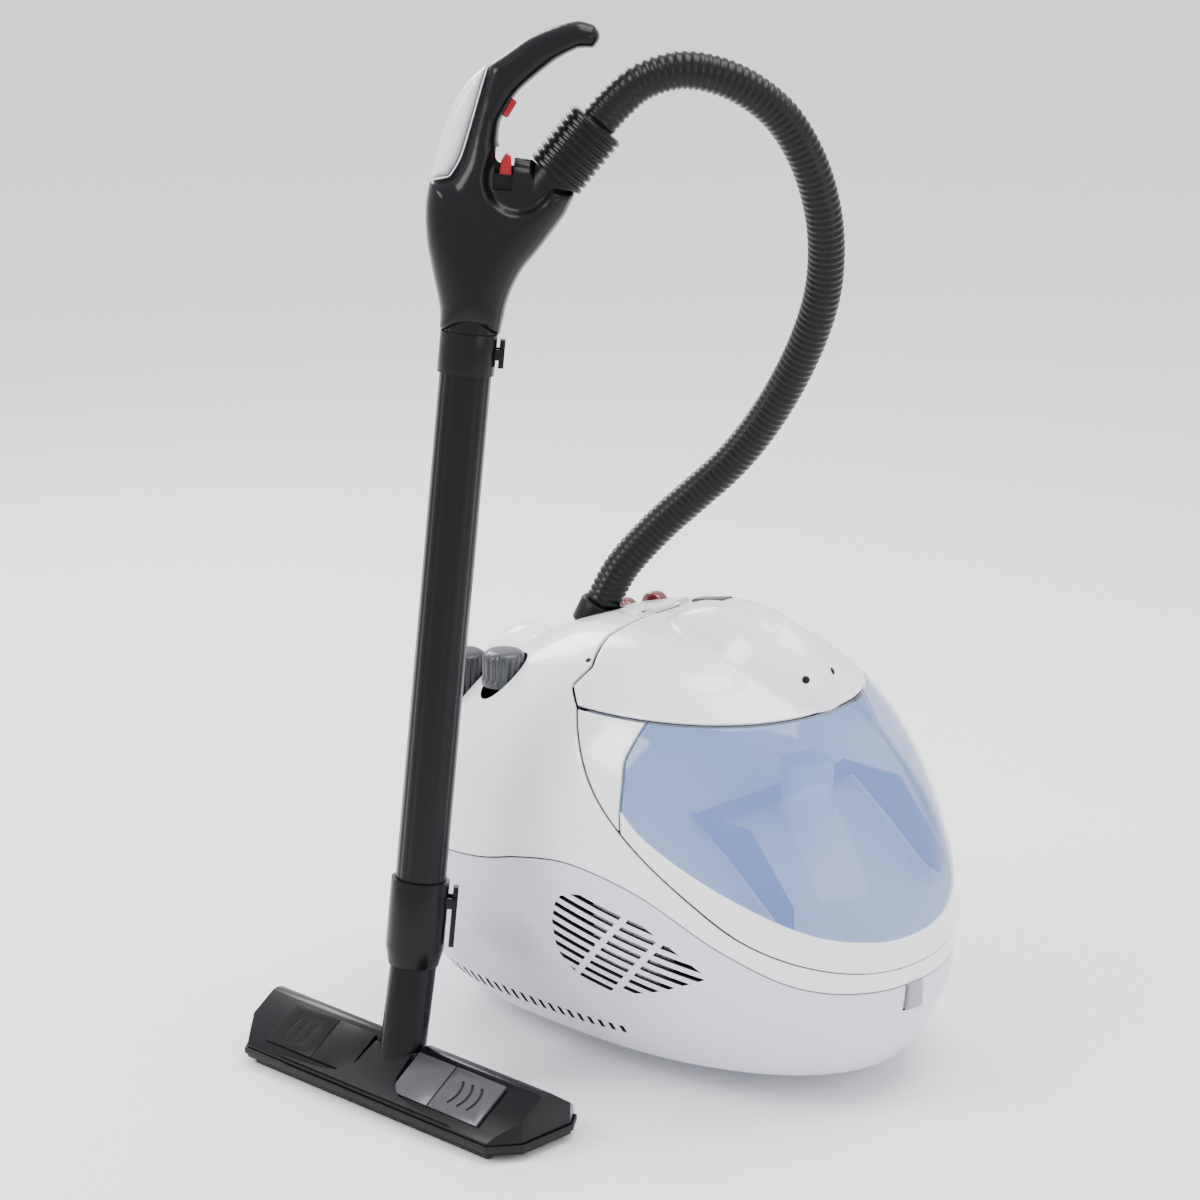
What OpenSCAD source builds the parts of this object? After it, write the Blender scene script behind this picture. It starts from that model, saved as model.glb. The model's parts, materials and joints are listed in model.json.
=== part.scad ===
// Steam cleaner: a wheeled body with a boiler, a suction motor and a water bucket behind a clear
// visor, joined by a hose to a handle, a tube and a floor brush.
// Frame: +Z up, the front of the body towards +X, floor at Z = 0, origin under the middle of the box.

/* [Body] */
// Length from the widest section of the body to its nose
nose_length = 237; // [225:1:245]
// Length from the widest section of the body to its tail
tail_length = 222; // [215:1:235]
// Half of the body's width
half_width = 168; // [162:1:174]
// Height of the top of the lid's flanks above the floor
dome_top = 334; // [330:1:337]
// Gap between the underside of the body and the floor
ground_gap = 24; // [23:1:26]
// Wall thickness of the moulded shells
wall = 3; // [2.4:0.2:3.4]
// Width of the seams between neighbouring shells
seam_gap = 1.2; // [0.8:0.1:1.6]

/* [Wand] */
// Outside diameter of the tube
tube_dia = 38; // [36:1:40]
// Distance from the mouth of the lower socket to the foot of the handle
tube_length = 478; // [460:2:490]
// Lean of the tube from upright, towards the body, in degrees
tube_lean = 7.8; // [7:0.2:8.4]
// Turn of the handle about the tube, in degrees
handle_turn = 45; // [42:1:48]

/* [Floor brush] */
// Length of the floor brush
brush_length = 295; // [270:5:310]
// Height of the ridge of the floor brush
ridge_height = 45; // [44:1:47]

/* [Castors] */
// Diameter of a castor wheel
castor_dia = 18; // [17:0.5:18]
// Width of a castor wheel
castor_width = 9; // [8:0.5:10]

/* [Hidden] */

$fn = 48;
fit_gap = 0.05;       // radial clearance of a shaft that turns in its hole
free_gap = 0.5;       // clearance between pieces that only pass each other
eps = 0.01;

// Places of the main groups on the floor
body_at = [-5, 67];
wand_foot = [-51, -180, 104];
brush_at = [-51, -188];

// Shell surface: heights of the widest sections and the roundness of each quarter
nose_z = 110;
tail_z = 120;
side_z = 150;
keel_depth = 150;
front_round = 2.15;
rear_round = 2.9;
ring_points = 60;
upper_rings = 15;
lower_rings = 6;

function crown(u, p, q) = pow(max(0, 1 - pow(abs(u), p)), 1 / q);
function nose(z, inset) = (nose_length - inset) * (z > nose_z
    ? crown((z - nose_z) / (dome_top - inset - nose_z), 1.55, 2.6)
    : crown((nose_z - z) / keel_depth, 2.4, 2.4));
function tail(z, inset) = (tail_length - inset) * (z > tail_z
    ? crown((z - tail_z) / (dome_top - inset - tail_z), 1.7, 2.2)
    : crown((tail_z - z) / keel_depth, 2.4, 2.4));
function side(z, inset) = (half_width - inset) * (z > side_z
    ? crown((z - side_z) / (dome_top - inset - side_z), 2.15, 2.6)
    : crown((side_z - z) / (keel_depth + 10), 2.4, 2.4));
function power(v, n) = sign(v) * pow(abs(v), 2 / n);
function section_point(z, inset, a) =
    let (n = cos(a) > 0 ? front_round : rear_round)
    let (reach = cos(a) > 0 ? nose(z, inset) : tail(z, inset))
    [reach * power(cos(a), n), side(z, inset) * power(sin(a), n), z];

// A smooth line through a few points, with the same number of steps between each pair
function bend(a, b, c, d, t) = 0.5 * (2 * b + (c - a) * t + (2 * a - 5 * b + 4 * c - d) * t * t
    + (3 * b - a - 3 * c + d) * t * t * t);
function smooth_line(p, steps) = [
    for (i = [0 : len(p) - 2], s = [0 : steps - 1])
        bend(p[max(i - 1, 0)], p[i], p[i + 1], p[min(i + 2, len(p) - 1)], s / steps),
    p[len(p) - 1]
];
function moved(p, v) = [for (q = p) q + v];
function reversed(p) = [for (i = [len(p) - 1 : -1 : 0]) p[i]];

// Seams of the body in side view
front_seam = smooth_line([
    [7, 287], [42, 244], [77, 213], [132, 172], [177, 139], [237, 111], [300, 92]
], 5);
base_line = smooth_line([
    [-300, 148], [-88, 160], [-8, 177], [42, 182], [102, 168], [164, 131], [217, 102], [300, 84]
], 5);
lid_edge = [[7, 288], [-10, 300], [-5, 312], [-18, 326], [-24, 400]];
lid_level = 289;
visor_rear = 70;
half_seam = seam_gap / 2;

module on_body() {
    translate([body_at[0], body_at[1], 0]) children();
}
module on_wand() {
    translate(wand_foot) rotate([-tube_lean, 0, 0]) children();
}
module on_handle() {
    on_wand() translate([0, 0, tube_length]) rotate([0, 0, handle_turn]) children();
}
module on_brush() {
    translate([brush_at[0], brush_at[1], 0]) children();
}

// Side-view outline pushed through the whole width, from y0 to y1
module through(outline, y0 = -250, y1 = 250) {
    translate([0, y1, 0]) rotate([90, 0, 0]) linear_extrude(height = y1 - y0) polygon(outline);
}
// Joins a lofted shell and its cuts in one piece
module one_piece() {
    resize([0, 0, 0]) children();
}

module body_solid(inset, floor_z) {
    low = [for (i = [0 : lower_rings - 1]) floor_z + (side_z - floor_z) * i / lower_rings];
    rise = dome_top - inset - side_z;
    high = [for (i = [0 : upper_rings - 1]) side_z + rise * sin(90 * i / upper_rings)];
    heights = concat(low, high);
    rings = len(heights);
    n = ring_points;
    points = concat(
        [for (z = heights, k = [0 : n - 1]) section_point(z, inset, 360 * (k + 0.5) / n)],
        [[0, 0, dome_top - inset], [0, 0, floor_z]]
    );
    top = rings * n;
    walls = [for (r = [0 : rings - 2], k = [0 : n - 1]) let (m = (k + 1) % n)
        each [[r * n + k, r * n + n + k, r * n + n + m], [r * n + k, r * n + n + m, r * n + m]]];
    crown_faces = [for (k = [0 : n - 1]) [(rings - 1) * n + k, top, (rings - 1) * n + (k + 1) % n]];
    floor_faces = [for (k = [0 : n - 1]) [k, (k + 1) % n, top + 1]];
    polyhedron(points = points, faces = concat(walls, crown_faces, floor_faces), convexity = 4);
}
module skin() {
    difference() {
        body_solid(0, ground_gap);
        body_solid(wall, ground_gap + wall);
    }
}

// ---------- body shells ----------
base_region = concat(moved(base_line, [0, -half_seam]), [[300, 0], [-300, 0]]);
casing_region = concat(
    moved(base_line, [0, half_seam]),
    reversed(moved(front_seam, [-half_seam, -half_seam])),
    moved(lid_edge, [-seam_gap, 0]),
    [[-300, 400]]
);
lid_region = concat(lid_edge, [[300, 400], [300, lid_level + half_seam], [8, lid_level + half_seam]]);
front_region = concat(
    moved(front_seam, [half_seam, half_seam]),
    [[300, lid_level - half_seam], [10, lid_level - half_seam]]
);
bucket_band = concat(moved(front_seam, [2.5, 1.5]), reversed(moved(front_seam, [4.5, 4])));

castor_places = [[90, 42], [90, -42], [-115, 52], [-115, -52]];
screw_places = [for (x = [-70, 50], y = [-60, 60]) [x, y]];
castor_pin_dia = 7;
castor_trail = 6;
gland_at = [38, 100];

// Slanted slots of the side grille, inside a leaf-shaped outline and broken by two ribs
grille_low = [[22, 133], [28, 108], [56, 89], [100, 92], [150, 113]];
grille_high = [[150, 114], [105, 146], [64, 161], [30, 156], [22, 135]];
slot_pitch = 8;
slot_width = 3.6;
module grille_cut() {
    intersection() {
        through(concat(smooth_line(grille_low, 3), smooth_line(grille_high, 3)));
        difference() {
            for (i = [-6 : 6]) {
                translate([85, 0, 126 + slot_pitch * i]) rotate([0, 14, 0])
                    cube([190, 500, slot_width], center = true);
            }
            for (x = [64, 104]) {
                translate([x, 0, 122]) rotate([0, 40, 0]) cube([5, 500, 120], center = true);
            }
        }
    }
}
foot_slots = 21;
foot_slot_pitch = 10.3;
module foot_slot_cut() {
    for (i = [0 : foot_slots - 1]) {
        height = 13 - 0.3 * i;
        middle = 45 + 0.3 * i;
        translate([-140 + foot_slot_pitch * i, -250, middle - height / 2]) cube([4.2, 500, height]);
    }
}
module base_pan() {
    color("lavender") on_body() one_piece() difference() {
        intersection() {
            skin();
            through(base_region);
        }
        grille_cut();
        foot_slot_cut();
        for (p = castor_places) {
            translate([p[0], p[1], 0]) cylinder(d = castor_pin_dia + 2 * free_gap, h = 60, $fn = 16);
        }
        for (p = screw_places) {
            translate([p[0], p[1], 0]) cylinder(r = 2.4, h = 60, $fn = 8);
        }
        translate([nose_length - 12, -9.5, 75]) cube([30, 19, 40]);
        translate([-tail_length - 20, gland_at[0], gland_at[1]]) rotate([0, 90, 0])
            cylinder(r = 9 + free_gap, h = 60, $fn = 16);
    }
}

// Pieces of the rear deck, by place on the body
switch_places = [[-96, 36], [-64, 36]];
rocker_heights = [308, 320];
knob_at = [-90, -106];
cap_at = [-149, -92];
hump_at = [-170, 2];
socket_radius = 17;
socket_tilt = 25;
socket_heading = 37;
hose_exit = [-85, 60, 328];
knob_radius = 17.5;
knob_base = 282;
cap_radius = 18.5;
cap_base = 250;
neck_radius = 12;
module on_socket() {
    translate(hose_exit) rotate([0, 0, socket_heading]) rotate([0, socket_tilt, 0]) children();
}
module deck_cuts() {
    for (p = switch_places) {
        translate([p[0] - 12.5, p[1] - 8, 275]) cube([25, 16, 70]);
    }
    translate([knob_at[0], knob_at[1], 220]) cylinder(r = 5 + free_gap, h = 80, $fn = 16);
    translate([knob_at[0], knob_at[1], knob_base - 0.5]) cylinder(r = knob_radius + 1, h = 60, $fn = 32);
    translate([cap_at[0], cap_at[1], 200]) cylinder(r = neck_radius + free_gap, h = 90, $fn = 24);
    translate([cap_at[0], cap_at[1], cap_base - 0.5]) cylinder(r = cap_radius + 1, h = 60, $fn = 32);
}
module rear_casing() {
    color("white") one_piece() difference() {
        on_body() difference() {
            intersection() {
                skin();
                through(casing_region);
            }
            deck_cuts();
            translate([hinge_at[0] - 5, -27, hinge_at[1] - 12]) cube([12, 54, 24]);
        }
        on_socket() {
            translate([0, 0, -60]) cylinder(r = socket_radius - 3 + free_gap, h = 60, $fn = 24);
            translate([0, 0, -12.5]) cylinder(r = socket_radius + free_gap, h = 60, $fn = 32);
        }
    }
}
hump_half = [46, 42, 62];
hump_middle = 228;
module rear_hump() {
    color("white") on_body() one_piece() difference() {
        translate([hump_at[0], hump_at[1], hump_middle]) scale(hump_half / 50) sphere(r = 50, $fn = 40);
        body_solid(-0.3, ground_gap);
    }
}

// Raised spine along the middle of the lid
spine_at = [58, 0, 290];
spine_half = [92, 47, 66];
module spine_solid(inset) {
    translate(spine_at) scale([for (s = spine_half) (s - inset) / 50]) sphere(r = 50, $fn = 44);
}
grip_at = [30, 0, 349];
grip_pitch = -12;
grip_size = [34, 12, 8];
lens_places = [[138, 15], [138, -15]];
hinge_at = [-21, dome_top - 1];
hinge_pin_radius = 2;
module lid() {
    color("white") on_body() one_piece() difference() {
        union() {
            difference() {
                intersection() {
                    union() {
                        body_solid(0, ground_gap);
                        spine_solid(0);
                    }
                    through(lid_region);
                }
                body_solid(wall, ground_gap + wall);
                spine_solid(wall);
                for (y = [-27, 13]) {
                    translate([hinge_at[0] - 5, y, hinge_at[1] - 12]) cube([10.5, 14, 24]);
                }
            }
            translate([hinge_at[0], 12, hinge_at[1]]) rotate([90, 0, 0]) cylinder(r = 4, h = 24, $fn = 24);
        }
        translate(grip_at) rotate([0, grip_pitch, 0]) cube(grip_size + [1, 1, 8], center = true);
        translate([hinge_at[0], 20, hinge_at[1]]) rotate([90, 0, 0])
            cylinder(r = hinge_pin_radius + fit_gap, h = 40, $fn = 48);
        for (p = lens_places) {
            translate([p[0], p[1], 280]) cylinder(r = 2.5, h = 70, $fn = 24);
        }
    }
}
module lid_grip() {
    color("dimgray") on_body() translate(grip_at) rotate([0, grip_pitch, 0]) cube(grip_size, center = true);
}
module lid_lenses() {
    color("black") on_body() for (p = lens_places) {
        translate([p[0], p[1], 290.5]) cylinder(r = 2.45, h = 25);
    }
}
module lid_hinge_pin() {
    color("silver") on_body() {
        translate([hinge_at[0], 26, hinge_at[1]]) rotate([90, 0, 0]) cylinder(r = hinge_pin_radius, h = 52);
        for (y = [-26, 14]) {
            translate([hinge_at[0] - 3, y, hinge_at[1] - 10]) cube([6, 12, 8]);
            translate([hinge_at[0] - 14, y, hinge_at[1] - 10]) cube([14, 12, 5]);
            translate([hinge_at[0], y + 12, hinge_at[1]]) rotate([90, 0, 0]) cylinder(r = 4, h = 12);
        }
    }
}

// ---------- water bucket ----------
module visor() {
    color("lightsteelblue") on_body() one_piece() intersection() {
        skin();
        through(front_region);
        translate([visor_rear + half_seam, -250, 0]) cube([300, 500, 400]);
    }
}
module visor_side_panels() {
    color("white") on_body() one_piece() intersection() {
        skin();
        through(front_region);
        translate([-50, -250, 0]) cube([visor_rear - half_seam + 50, 500, 400]);
    }
}
module bucket_floor() {
    color("aliceblue") on_body() one_piece() intersection() {
        body_solid(wall + 0.3, ground_gap);
        through(bucket_band);
        translate([-50, -250, 0]) cube([400, 500, lid_level - 3]);
    }
}
frame_outline = [[90, 216], [146, 216], [190, 166], [190, 148], [178, 151], [134, 185], [92, 214]];
module filter_frame() {
    color("steelblue") on_body() for (y = [-88, 84]) {
        through(frame_outline, y, y + 4);
    }
    color("steelblue") on_body() through([[92, 213.5], [92, 216], [106, 216], [106, 209]], -84, 84);
}
module filter_float() {
    color("white") on_body() translate([128, 0, 205]) cylinder(r = 20, h = 42);
}
module front_latch() {
    color("gray") on_body() translate([nose_length - 10, 0, 76]) {
        translate([0, -8, 0]) cube([12, 16, 21]);
    }
}

// ---------- deck pieces ----------
module rocker(p, height) {
    on_body() translate([p[0], p[1], height]) {
        rotate([90, 0, 0]) cylinder(r = 11, h = 13, center = true);
    }
}
module vacuum_switch() {
    color("darkred") rocker(switch_places[0], rocker_heights[0]);
}
module steam_switch() {
    color("darkred") rocker(switch_places[1], rocker_heights[1]);
}
module steam_knob() {
    color("gray") on_body() translate([knob_at[0], knob_at[1], 0]) {
        translate([0, 0, 250]) cylinder(r = 5, h = knob_base - 249);
        translate([0, 0, knob_base]) cylinder(r = knob_radius, h = 27);
    }
}
module boiler_cap() {
    color("dimgray") on_body() translate([cap_at[0], cap_at[1], 0]) {
        difference() {
            translate([0, 0, cap_base]) cylinder(r = cap_radius, h = 43);
            translate([0, 0, cap_base - 1]) cylinder(r = neck_radius + 0.4, h = 31);
        }
    }
}
module hose_socket() {
    color("black") on_socket() difference() {
        union() {
            translate([0, 0, -12]) cylinder(r = socket_radius, h = 12);
            translate([0, 0, -36]) cylinder(r = socket_radius - 3, h = 25);
        }
        translate([0, 0, -40]) cylinder(r = 11, h = 38);
    }
}
module cord_gland() {
    color("black") on_body() translate([-tail_length + 4, gland_at[0], gland_at[1]]) rotate([0, -90, 0])
    difference() {
        union() {
            translate([0, 0, -12]) cylinder(r = 9, h = 16);
            translate([0, 0, 4]) cylinder(r1 = 8, r2 = 6, h = 6);
        }
        translate([0, 0, -13]) cylinder(r = 3.6, h = 30);
    }
}

// ---------- inside the body ----------
boiler_at = [-130, -60];
boiler_radius = 50;
motor_at = [-20, 60];
module boiler() {
    color("silver") on_body() {
        difference() {
            union() {
                translate([boiler_at[0], boiler_at[1], 100]) cylinder(r = boiler_radius, h = 92);
                translate([boiler_at[0], boiler_at[1], 191.5])
                    cylinder(r1 = boiler_radius, r2 = 46, h = 8);
                translate([cap_at[0], cap_at[1], 180]) cylinder(r = neck_radius, h = 96);
            }
            translate([boiler_at[0], boiler_at[1], 103]) cylinder(r = boiler_radius - 3, h = 86);
            translate([cap_at[0], cap_at[1], 150]) cylinder(r = neck_radius - 3, h = 130);
        }
    }
}
module heating_plate() {
    color("saddlebrown") on_body() translate([boiler_at[0], boiler_at[1], 90])
        cylinder(r = 44, h = 9.9);
}
motor_radius = 48;
module motor() {
    color("slategray") on_body() translate([motor_at[0], motor_at[1], 0]) difference() {
        translate([0, 0, 78]) cylinder(r = motor_radius, h = 92);
        translate([0, 0, 77]) cylinder(r = 4 + fit_gap, h = 26);
    }
}
module motor_seat() {
    color("black") on_body() translate([motor_at[0], motor_at[1], 0]) difference() {
        translate([0, 0, 50]) cylinder(r = motor_radius + 6, h = 28);
        translate([0, 0, 53]) cylinder(r = motor_radius - 3, h = 30);
        translate([0, 0, 49]) cylinder(r = 18, h = 10);
    }
}
module impeller() {
    color("silver") on_body() translate([motor_at[0], motor_at[1], 0]) {
        translate([0, 0, 70]) cylinder(r = 4, h = 30);
        translate([0, 0, 57]) cylinder(r = 12, h = 14);
        translate([0, 0, 57]) cylinder(r = 40, h = 2);
        for (i = [0 : 8]) {
            rotate([0, 0, 40 * i]) translate([10, -1, 58.5]) cube([29, 2, 10]);
        }
    }
}
module exhaust_filter() {
    color("white") on_body() translate([35, -136, 95]) cube([66, 18, 52]);
}
module circuit_board() {
    color("darkgreen") on_body() translate([-50, -104, 188]) {
        cube([76, 1.6, 60]);
        translate([10, 1.5, 12]) cube([22, 14, 18]);
        translate([44, 1.5, 20]) cube([20, 10, 30]);
    }
}
module casing_screws() {
    color("silver") on_body() for (p = screw_places) {
        translate([p[0], p[1], ground_gap - 1.8]) cylinder(r = 4, h = 1.6);
        translate([p[0], p[1], ground_gap - 1]) cylinder(r = 2, h = 16);
    }
}

// ---------- castors ----------
module castor_fork(p) {
    color("gray") on_body() translate([p[0], p[1], 0]) {
        translate([0, 0, castor_dia + 0.7]) cylinder(r = 11, h = ground_gap - castor_dia - 1.2);
        translate([0, 0, ground_gap - 1]) cylinder(d = castor_pin_dia, h = 18);
        for (s = [-1, 1]) {
            difference() {
                translate([-castor_trail - 4, s * (castor_width / 2 + 1.6) - 1, castor_dia / 2 - 4])
                    cube([8, 2, castor_dia / 2 + 5]);
                translate([-castor_trail, 0, castor_dia / 2]) rotate([90, 0, 0])
                    cylinder(r = 2 + fit_gap, h = 40, center = true);
            }
        }
    }
}
module castor_wheel(p) {
    color("darkslategray") on_body() translate([p[0] - castor_trail, p[1], castor_dia / 2])
    rotate([90, 0, 0]) {
        cylinder(d = castor_dia, h = castor_width, center = true);
        cylinder(r = 2, h = castor_width + 5.4, center = true);
    }
}
module castor_fork_front_left() {
    castor_fork(castor_places[0]);
}
module castor_fork_front_right() {
    castor_fork(castor_places[1]);
}
module castor_fork_rear_left() {
    castor_fork(castor_places[2]);
}
module castor_fork_rear_right() {
    castor_fork(castor_places[3]);
}
module castor_wheel_front_left() {
    castor_wheel(castor_places[0]);
}
module castor_wheel_front_right() {
    castor_wheel(castor_places[1]);
}
module castor_wheel_rear_left() {
    castor_wheel(castor_places[2]);
}
module castor_wheel_rear_right() {
    castor_wheel(castor_places[3]);
}

// ---------- hose ----------
hose_dia = 28;
hose_sides = 10;
arm_foot = [51.3, 0, 118.1];
arm_angle = 33.8;
collar_length = 49;
function turn_x(v, a) = [v[0], v[1] * cos(a) - v[2] * sin(a), v[1] * sin(a) + v[2] * cos(a)];
function turn_z(v, a) = [v[0] * cos(a) - v[1] * sin(a), v[0] * sin(a) + v[1] * cos(a), v[2]];
function handle_point(v) = wand_foot + turn_x(turn_z(v, handle_turn) + [0, 0, tube_length], -tube_lean);
collar_end = handle_point(arm_foot + collar_length * [sin(arm_angle), 0, cos(arm_angle)]);
route = [
    hose_exit, [-73, 70, 358], [-49, 86, 392], [-25, 98, 418], [0, 110, 445], [23, 118, 475],
    [45, 123, 510], [65, 125, 548], [81, 123, 586], [91, 116, 622], [96, 105, 658], [95, 90, 694],
    [88, 71, 726], [76, 49, 748], [61, 27, 761], [43, 6, 765], [25, -14, 757], [13, -28, 742], collar_end
];
loop_normal = [0.67, -0.74, 0];
function unit(v) = v / norm(v);
module hose() {
    path = smooth_line(route, 4);
    last = len(path) - 1;
    exit_way = turn_z([sin(socket_tilt), 0, cos(socket_tilt)], socket_heading);
    entry_way = unit(handle_point(arm_foot) - collar_end);
    ways = [
        for (i = [0 : last])
            i == 0 ? exit_way : i == last ? entry_way : unit(path[i + 1] - path[i - 1])
    ];
    n = hose_sides;
    points = concat(
        [for (i = [0 : last]) let (u = unit(cross(loop_normal, ways[i])), v = cross(ways[i], u))
            for (k = [0 : n - 1]) path[i] + hose_dia / 2 * (u * cos(360 * k / n) + v * sin(360 * k / n))],
        [path[0], path[last]]
    );
    walls = [for (i = [0 : last - 1], k = [0 : n - 1]) let (m = (k + 1) % n)
        each [[i * n + k, i * n + n + k, i * n + n + m], [i * n + k, i * n + n + m, i * n + m]]];
    ends = [for (k = [0 : n - 1]) let (m = (k + 1) % n)
        each [[k, m, n * (last + 1)], [n * last + m, n * last + k, n * (last + 1) + 1]]];
    color("black") polyhedron(points = points, faces = concat(walls, ends), convexity = 6);
}
module on_arm() {
    on_handle() translate(arm_foot) rotate([0, arm_angle, 0]) children();
}
duct_radius = 16;
module hose_collar() {
    color("black") on_arm() difference() {
        union() {
            translate([0, 0, 0.4]) cylinder(r = 19, h = collar_length - 0.5);
            for (i = [0 : 5]) {
                translate([0, 0, 1.5 + 7 * i]) cylinder(r = 22, h = 4);
            }
            translate([0, 0, collar_length - 5]) cylinder(r = 22.5, h = 4.9);
        }
        translate([0, 0, -1]) cylinder(r = duct_radius + fit_gap, h = 30);
        translate([0, 0, -1]) cylinder(r = 12, h = collar_length + 2);
    }
}

// ---------- handle ----------
back_edge = [[-24, 111], [-17, 126], [-11.5, 152], [-7.5, 173], [-3.5, 193]];
handle_outline = concat(
    smooth_line([[-22, 0], [-22.5, 14], [-29, 37], [-36, 62], [-39.5, 88], [-38, 107]], 3),
    smooth_line(back_edge, 2),
    smooth_line([[-2, 195], [8, 203], [24, 216], [46, 227], [59, 231]], 3),
    smooth_line([[70, 229], [75, 221], [71, 212]], 3),
    smooth_line([[60, 211], [46, 202], [31, 188], [18, 173], [9, 154]], 3),
    smooth_line([[8.5, 140], [14, 130.5], [24, 130]], 3),
    [[35.1, 129], [67.5, 107.3]],
    smooth_line([[62, 92], [46, 66], [34, 48], [26.5, 28], [24, 12], [22.5, 0]], 3)
);
insert_outline = concat(
    smooth_line([[-37.5, 108.5], [-34, 136], [-25, 166], [-15, 183], [-4.2, 194]], 3),
    reversed(moved(smooth_line(back_edge, 2), [-0.6, 0.4]))
);
shell_depth = [
    [0.1, -1], [22.5, -1], [24, 40], [24.5, 85], [22, 118], [17, 142],
    [14.5, 170], [14.5, 206], [11, 226], [8, 240], [0.1, 240]
];
button_at = [13.2, 164.8];
button_slope = 26;
trigger_pivot = [15.5, 104];
module handle_half(s) {
    color("black") on_handle() difference() {
        intersection() {
            through(handle_outline, s > 0 ? 0.05 : -25, s > 0 ? 25 : -0.05);
            translate([100, 0, 0]) rotate([0, -90, 0]) linear_extrude(height = 160)
                polygon([for (p = shell_depth) [p[1], s * p[0]]]);
        }
        translate([0, 0, -2]) cylinder(r = tube_dia / 2 + 0.3, h = 14.3);
        translate([0, 0, 10]) cylinder(r = duct_radius + 0.3, h = 30);
        translate([0, 0, 39.6]) sphere(r = duct_radius + 0.9);
        translate(arm_foot) rotate([0, arm_angle, 0]) translate([0, 0, -94])
            cylinder(r = duct_radius + 0.3, h = 100);
        translate([6.5, -8.5, 97]) cube([16, 17, 20]);
        translate([6.5, -30, 110]) cube([16, 60, 26]);
        translate([trigger_pivot[0], 0, trigger_pivot[1]]) rotate([90, 0, 0])
            cylinder(r = 2 + fit_gap, h = 21.4, center = true);
        translate([19, s * 18, 92]) rotate([90, 0, 0]) cylinder(r = 11, h = 14, center = true);
        translate([8.6, s * 18 - 7, 95]) cube([20.8, 14, 50]);
        translate([button_at[0], 0, button_at[1]]) rotate([0, button_slope, 0])
            cube([12, 11, 15.5], center = true);
        translate([-12, -7.5, 86]) cube([12, 15, 14]);
    }
}
module handle_shell_left() {
    handle_half(1);
}
module handle_shell_right() {
    handle_half(-1);
}
module handle_duct() {
    color("dimgray") on_handle() difference() {
        union() {
            translate([0, 0, 12.5]) cylinder(r = duct_radius, h = 27.1);
            translate([0, 0, 39.6]) sphere(r = duct_radius);
            translate(arm_foot) rotate([0, arm_angle, 0]) translate([0, 0, -94])
                cylinder(r = duct_radius, h = 122);
        }
        translate([0, 0, 11]) cylinder(r = duct_radius - 2, h = 28.6);
        translate([0, 0, 39.6]) sphere(r = duct_radius - 2);
        translate(arm_foot) rotate([0, arm_angle, 0]) translate([0, 0, -94])
            cylinder(r = duct_radius - 2, h = 130);
    }
}
module back_insert() {
    color("whitesmoke") on_handle() through(insert_outline, -12, 12);
}
module trigger() {
    color("red") on_handle() {
        through([[10.5, 104], [19.5, 104], [20.5, 118], [19, 130], [15, 132], [12, 126]], -8, 8);
        translate([trigger_pivot[0], 0, trigger_pivot[1]]) rotate([90, 0, 0]) {
            cylinder(r = 4, h = 16, center = true);
            cylinder(r = 2, h = 21, center = true);
        }
    }
}
module trigger_switch() {
    color("gray") on_handle() translate([-11.5, -7, 86.5]) cube([11, 14, 13]);
}
module steam_button() {
    color("red") on_handle() translate([button_at[0], 0, button_at[1]]) rotate([0, button_slope, 0])
        translate([0.6, 0, 0]) cube([7, 10, 14], center = true);
}

// ---------- tube ----------
collar_height = 30;
collar_radius = tube_dia / 2 + 2;
upper_reach = tube_dia / 2 + 4;
lower_reach = tube_dia / 2 + 6;
module latch_ears(z, reach) {
    for (y = [-8, 5.5]) {
        translate([tube_dia / 2 + 1, y, z - 4]) cube([reach - tube_dia / 2 + 2, 2.5, 8]);
    }
    translate([reach + 1.6, 0, z]) rotate([90, 0, 0]) cylinder(r = 1, h = 12, center = true);
}
module latch_bar(z, low, high, reach) {
    difference() {
        translate([reach, -5, low]) cube([4, 10, high - low]);
        translate([reach + 1.6, 0, z]) rotate([90, 0, 0]) cylinder(r = 1 + fit_gap, h = 20, center = true);
    }
}
module tube_collar() {
    color("black") on_handle() {
        difference() {
            translate([0, 0, -collar_height]) cylinder(r = collar_radius, h = collar_height);
            translate([0, 0, -collar_height - 1])
                cylinder(r = tube_dia / 2 + fit_gap, h = collar_height + 2);
        }
        latch_ears(-14, upper_reach);
    }
}
module upper_latch() {
    color("black") on_handle() latch_bar(-14, -24, -3, upper_reach);
}
tube_bottom = 12.5;
tube_top = tube_length + 11.5;
module extension_tube() {
    color("black") on_wand() difference() {
        translate([0, 0, tube_bottom]) cylinder(d = tube_dia, h = tube_top - tube_bottom);
        translate([0, 0, tube_bottom - 1]) cylinder(d = tube_dia - 4, h = tube_top - tube_bottom + 2);
    }
}
module steam_pipe() {
    color("dimgray") on_wand() translate([0, 12.5, tube_bottom + 2]) difference() {
        cylinder(r = 4, h = tube_top - tube_bottom - 4);
        translate([0, 0, -1]) cylinder(r = 2.5, h = tube_top);
    }
}
socket_height = 66;
module lower_socket() {
    color("black") on_wand() difference() {
        union() {
            cylinder(r1 = 19, r2 = 22, h = 14);
            translate([0, 0, 14]) cylinder(r = 22, h = socket_height - 14);
            rotate([0, 0, handle_turn]) latch_ears(50, lower_reach);
        }
        translate([0, 0, 12.4]) cylinder(r = tube_dia / 2 + fit_gap, h = socket_height);
        translate([0, 0, -1]) cylinder(r = 15, h = 20);
    }
}
module lower_latch() {
    color("black") on_wand() rotate([0, 0, handle_turn]) latch_bar(50, 16, 62, lower_reach);
}

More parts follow.
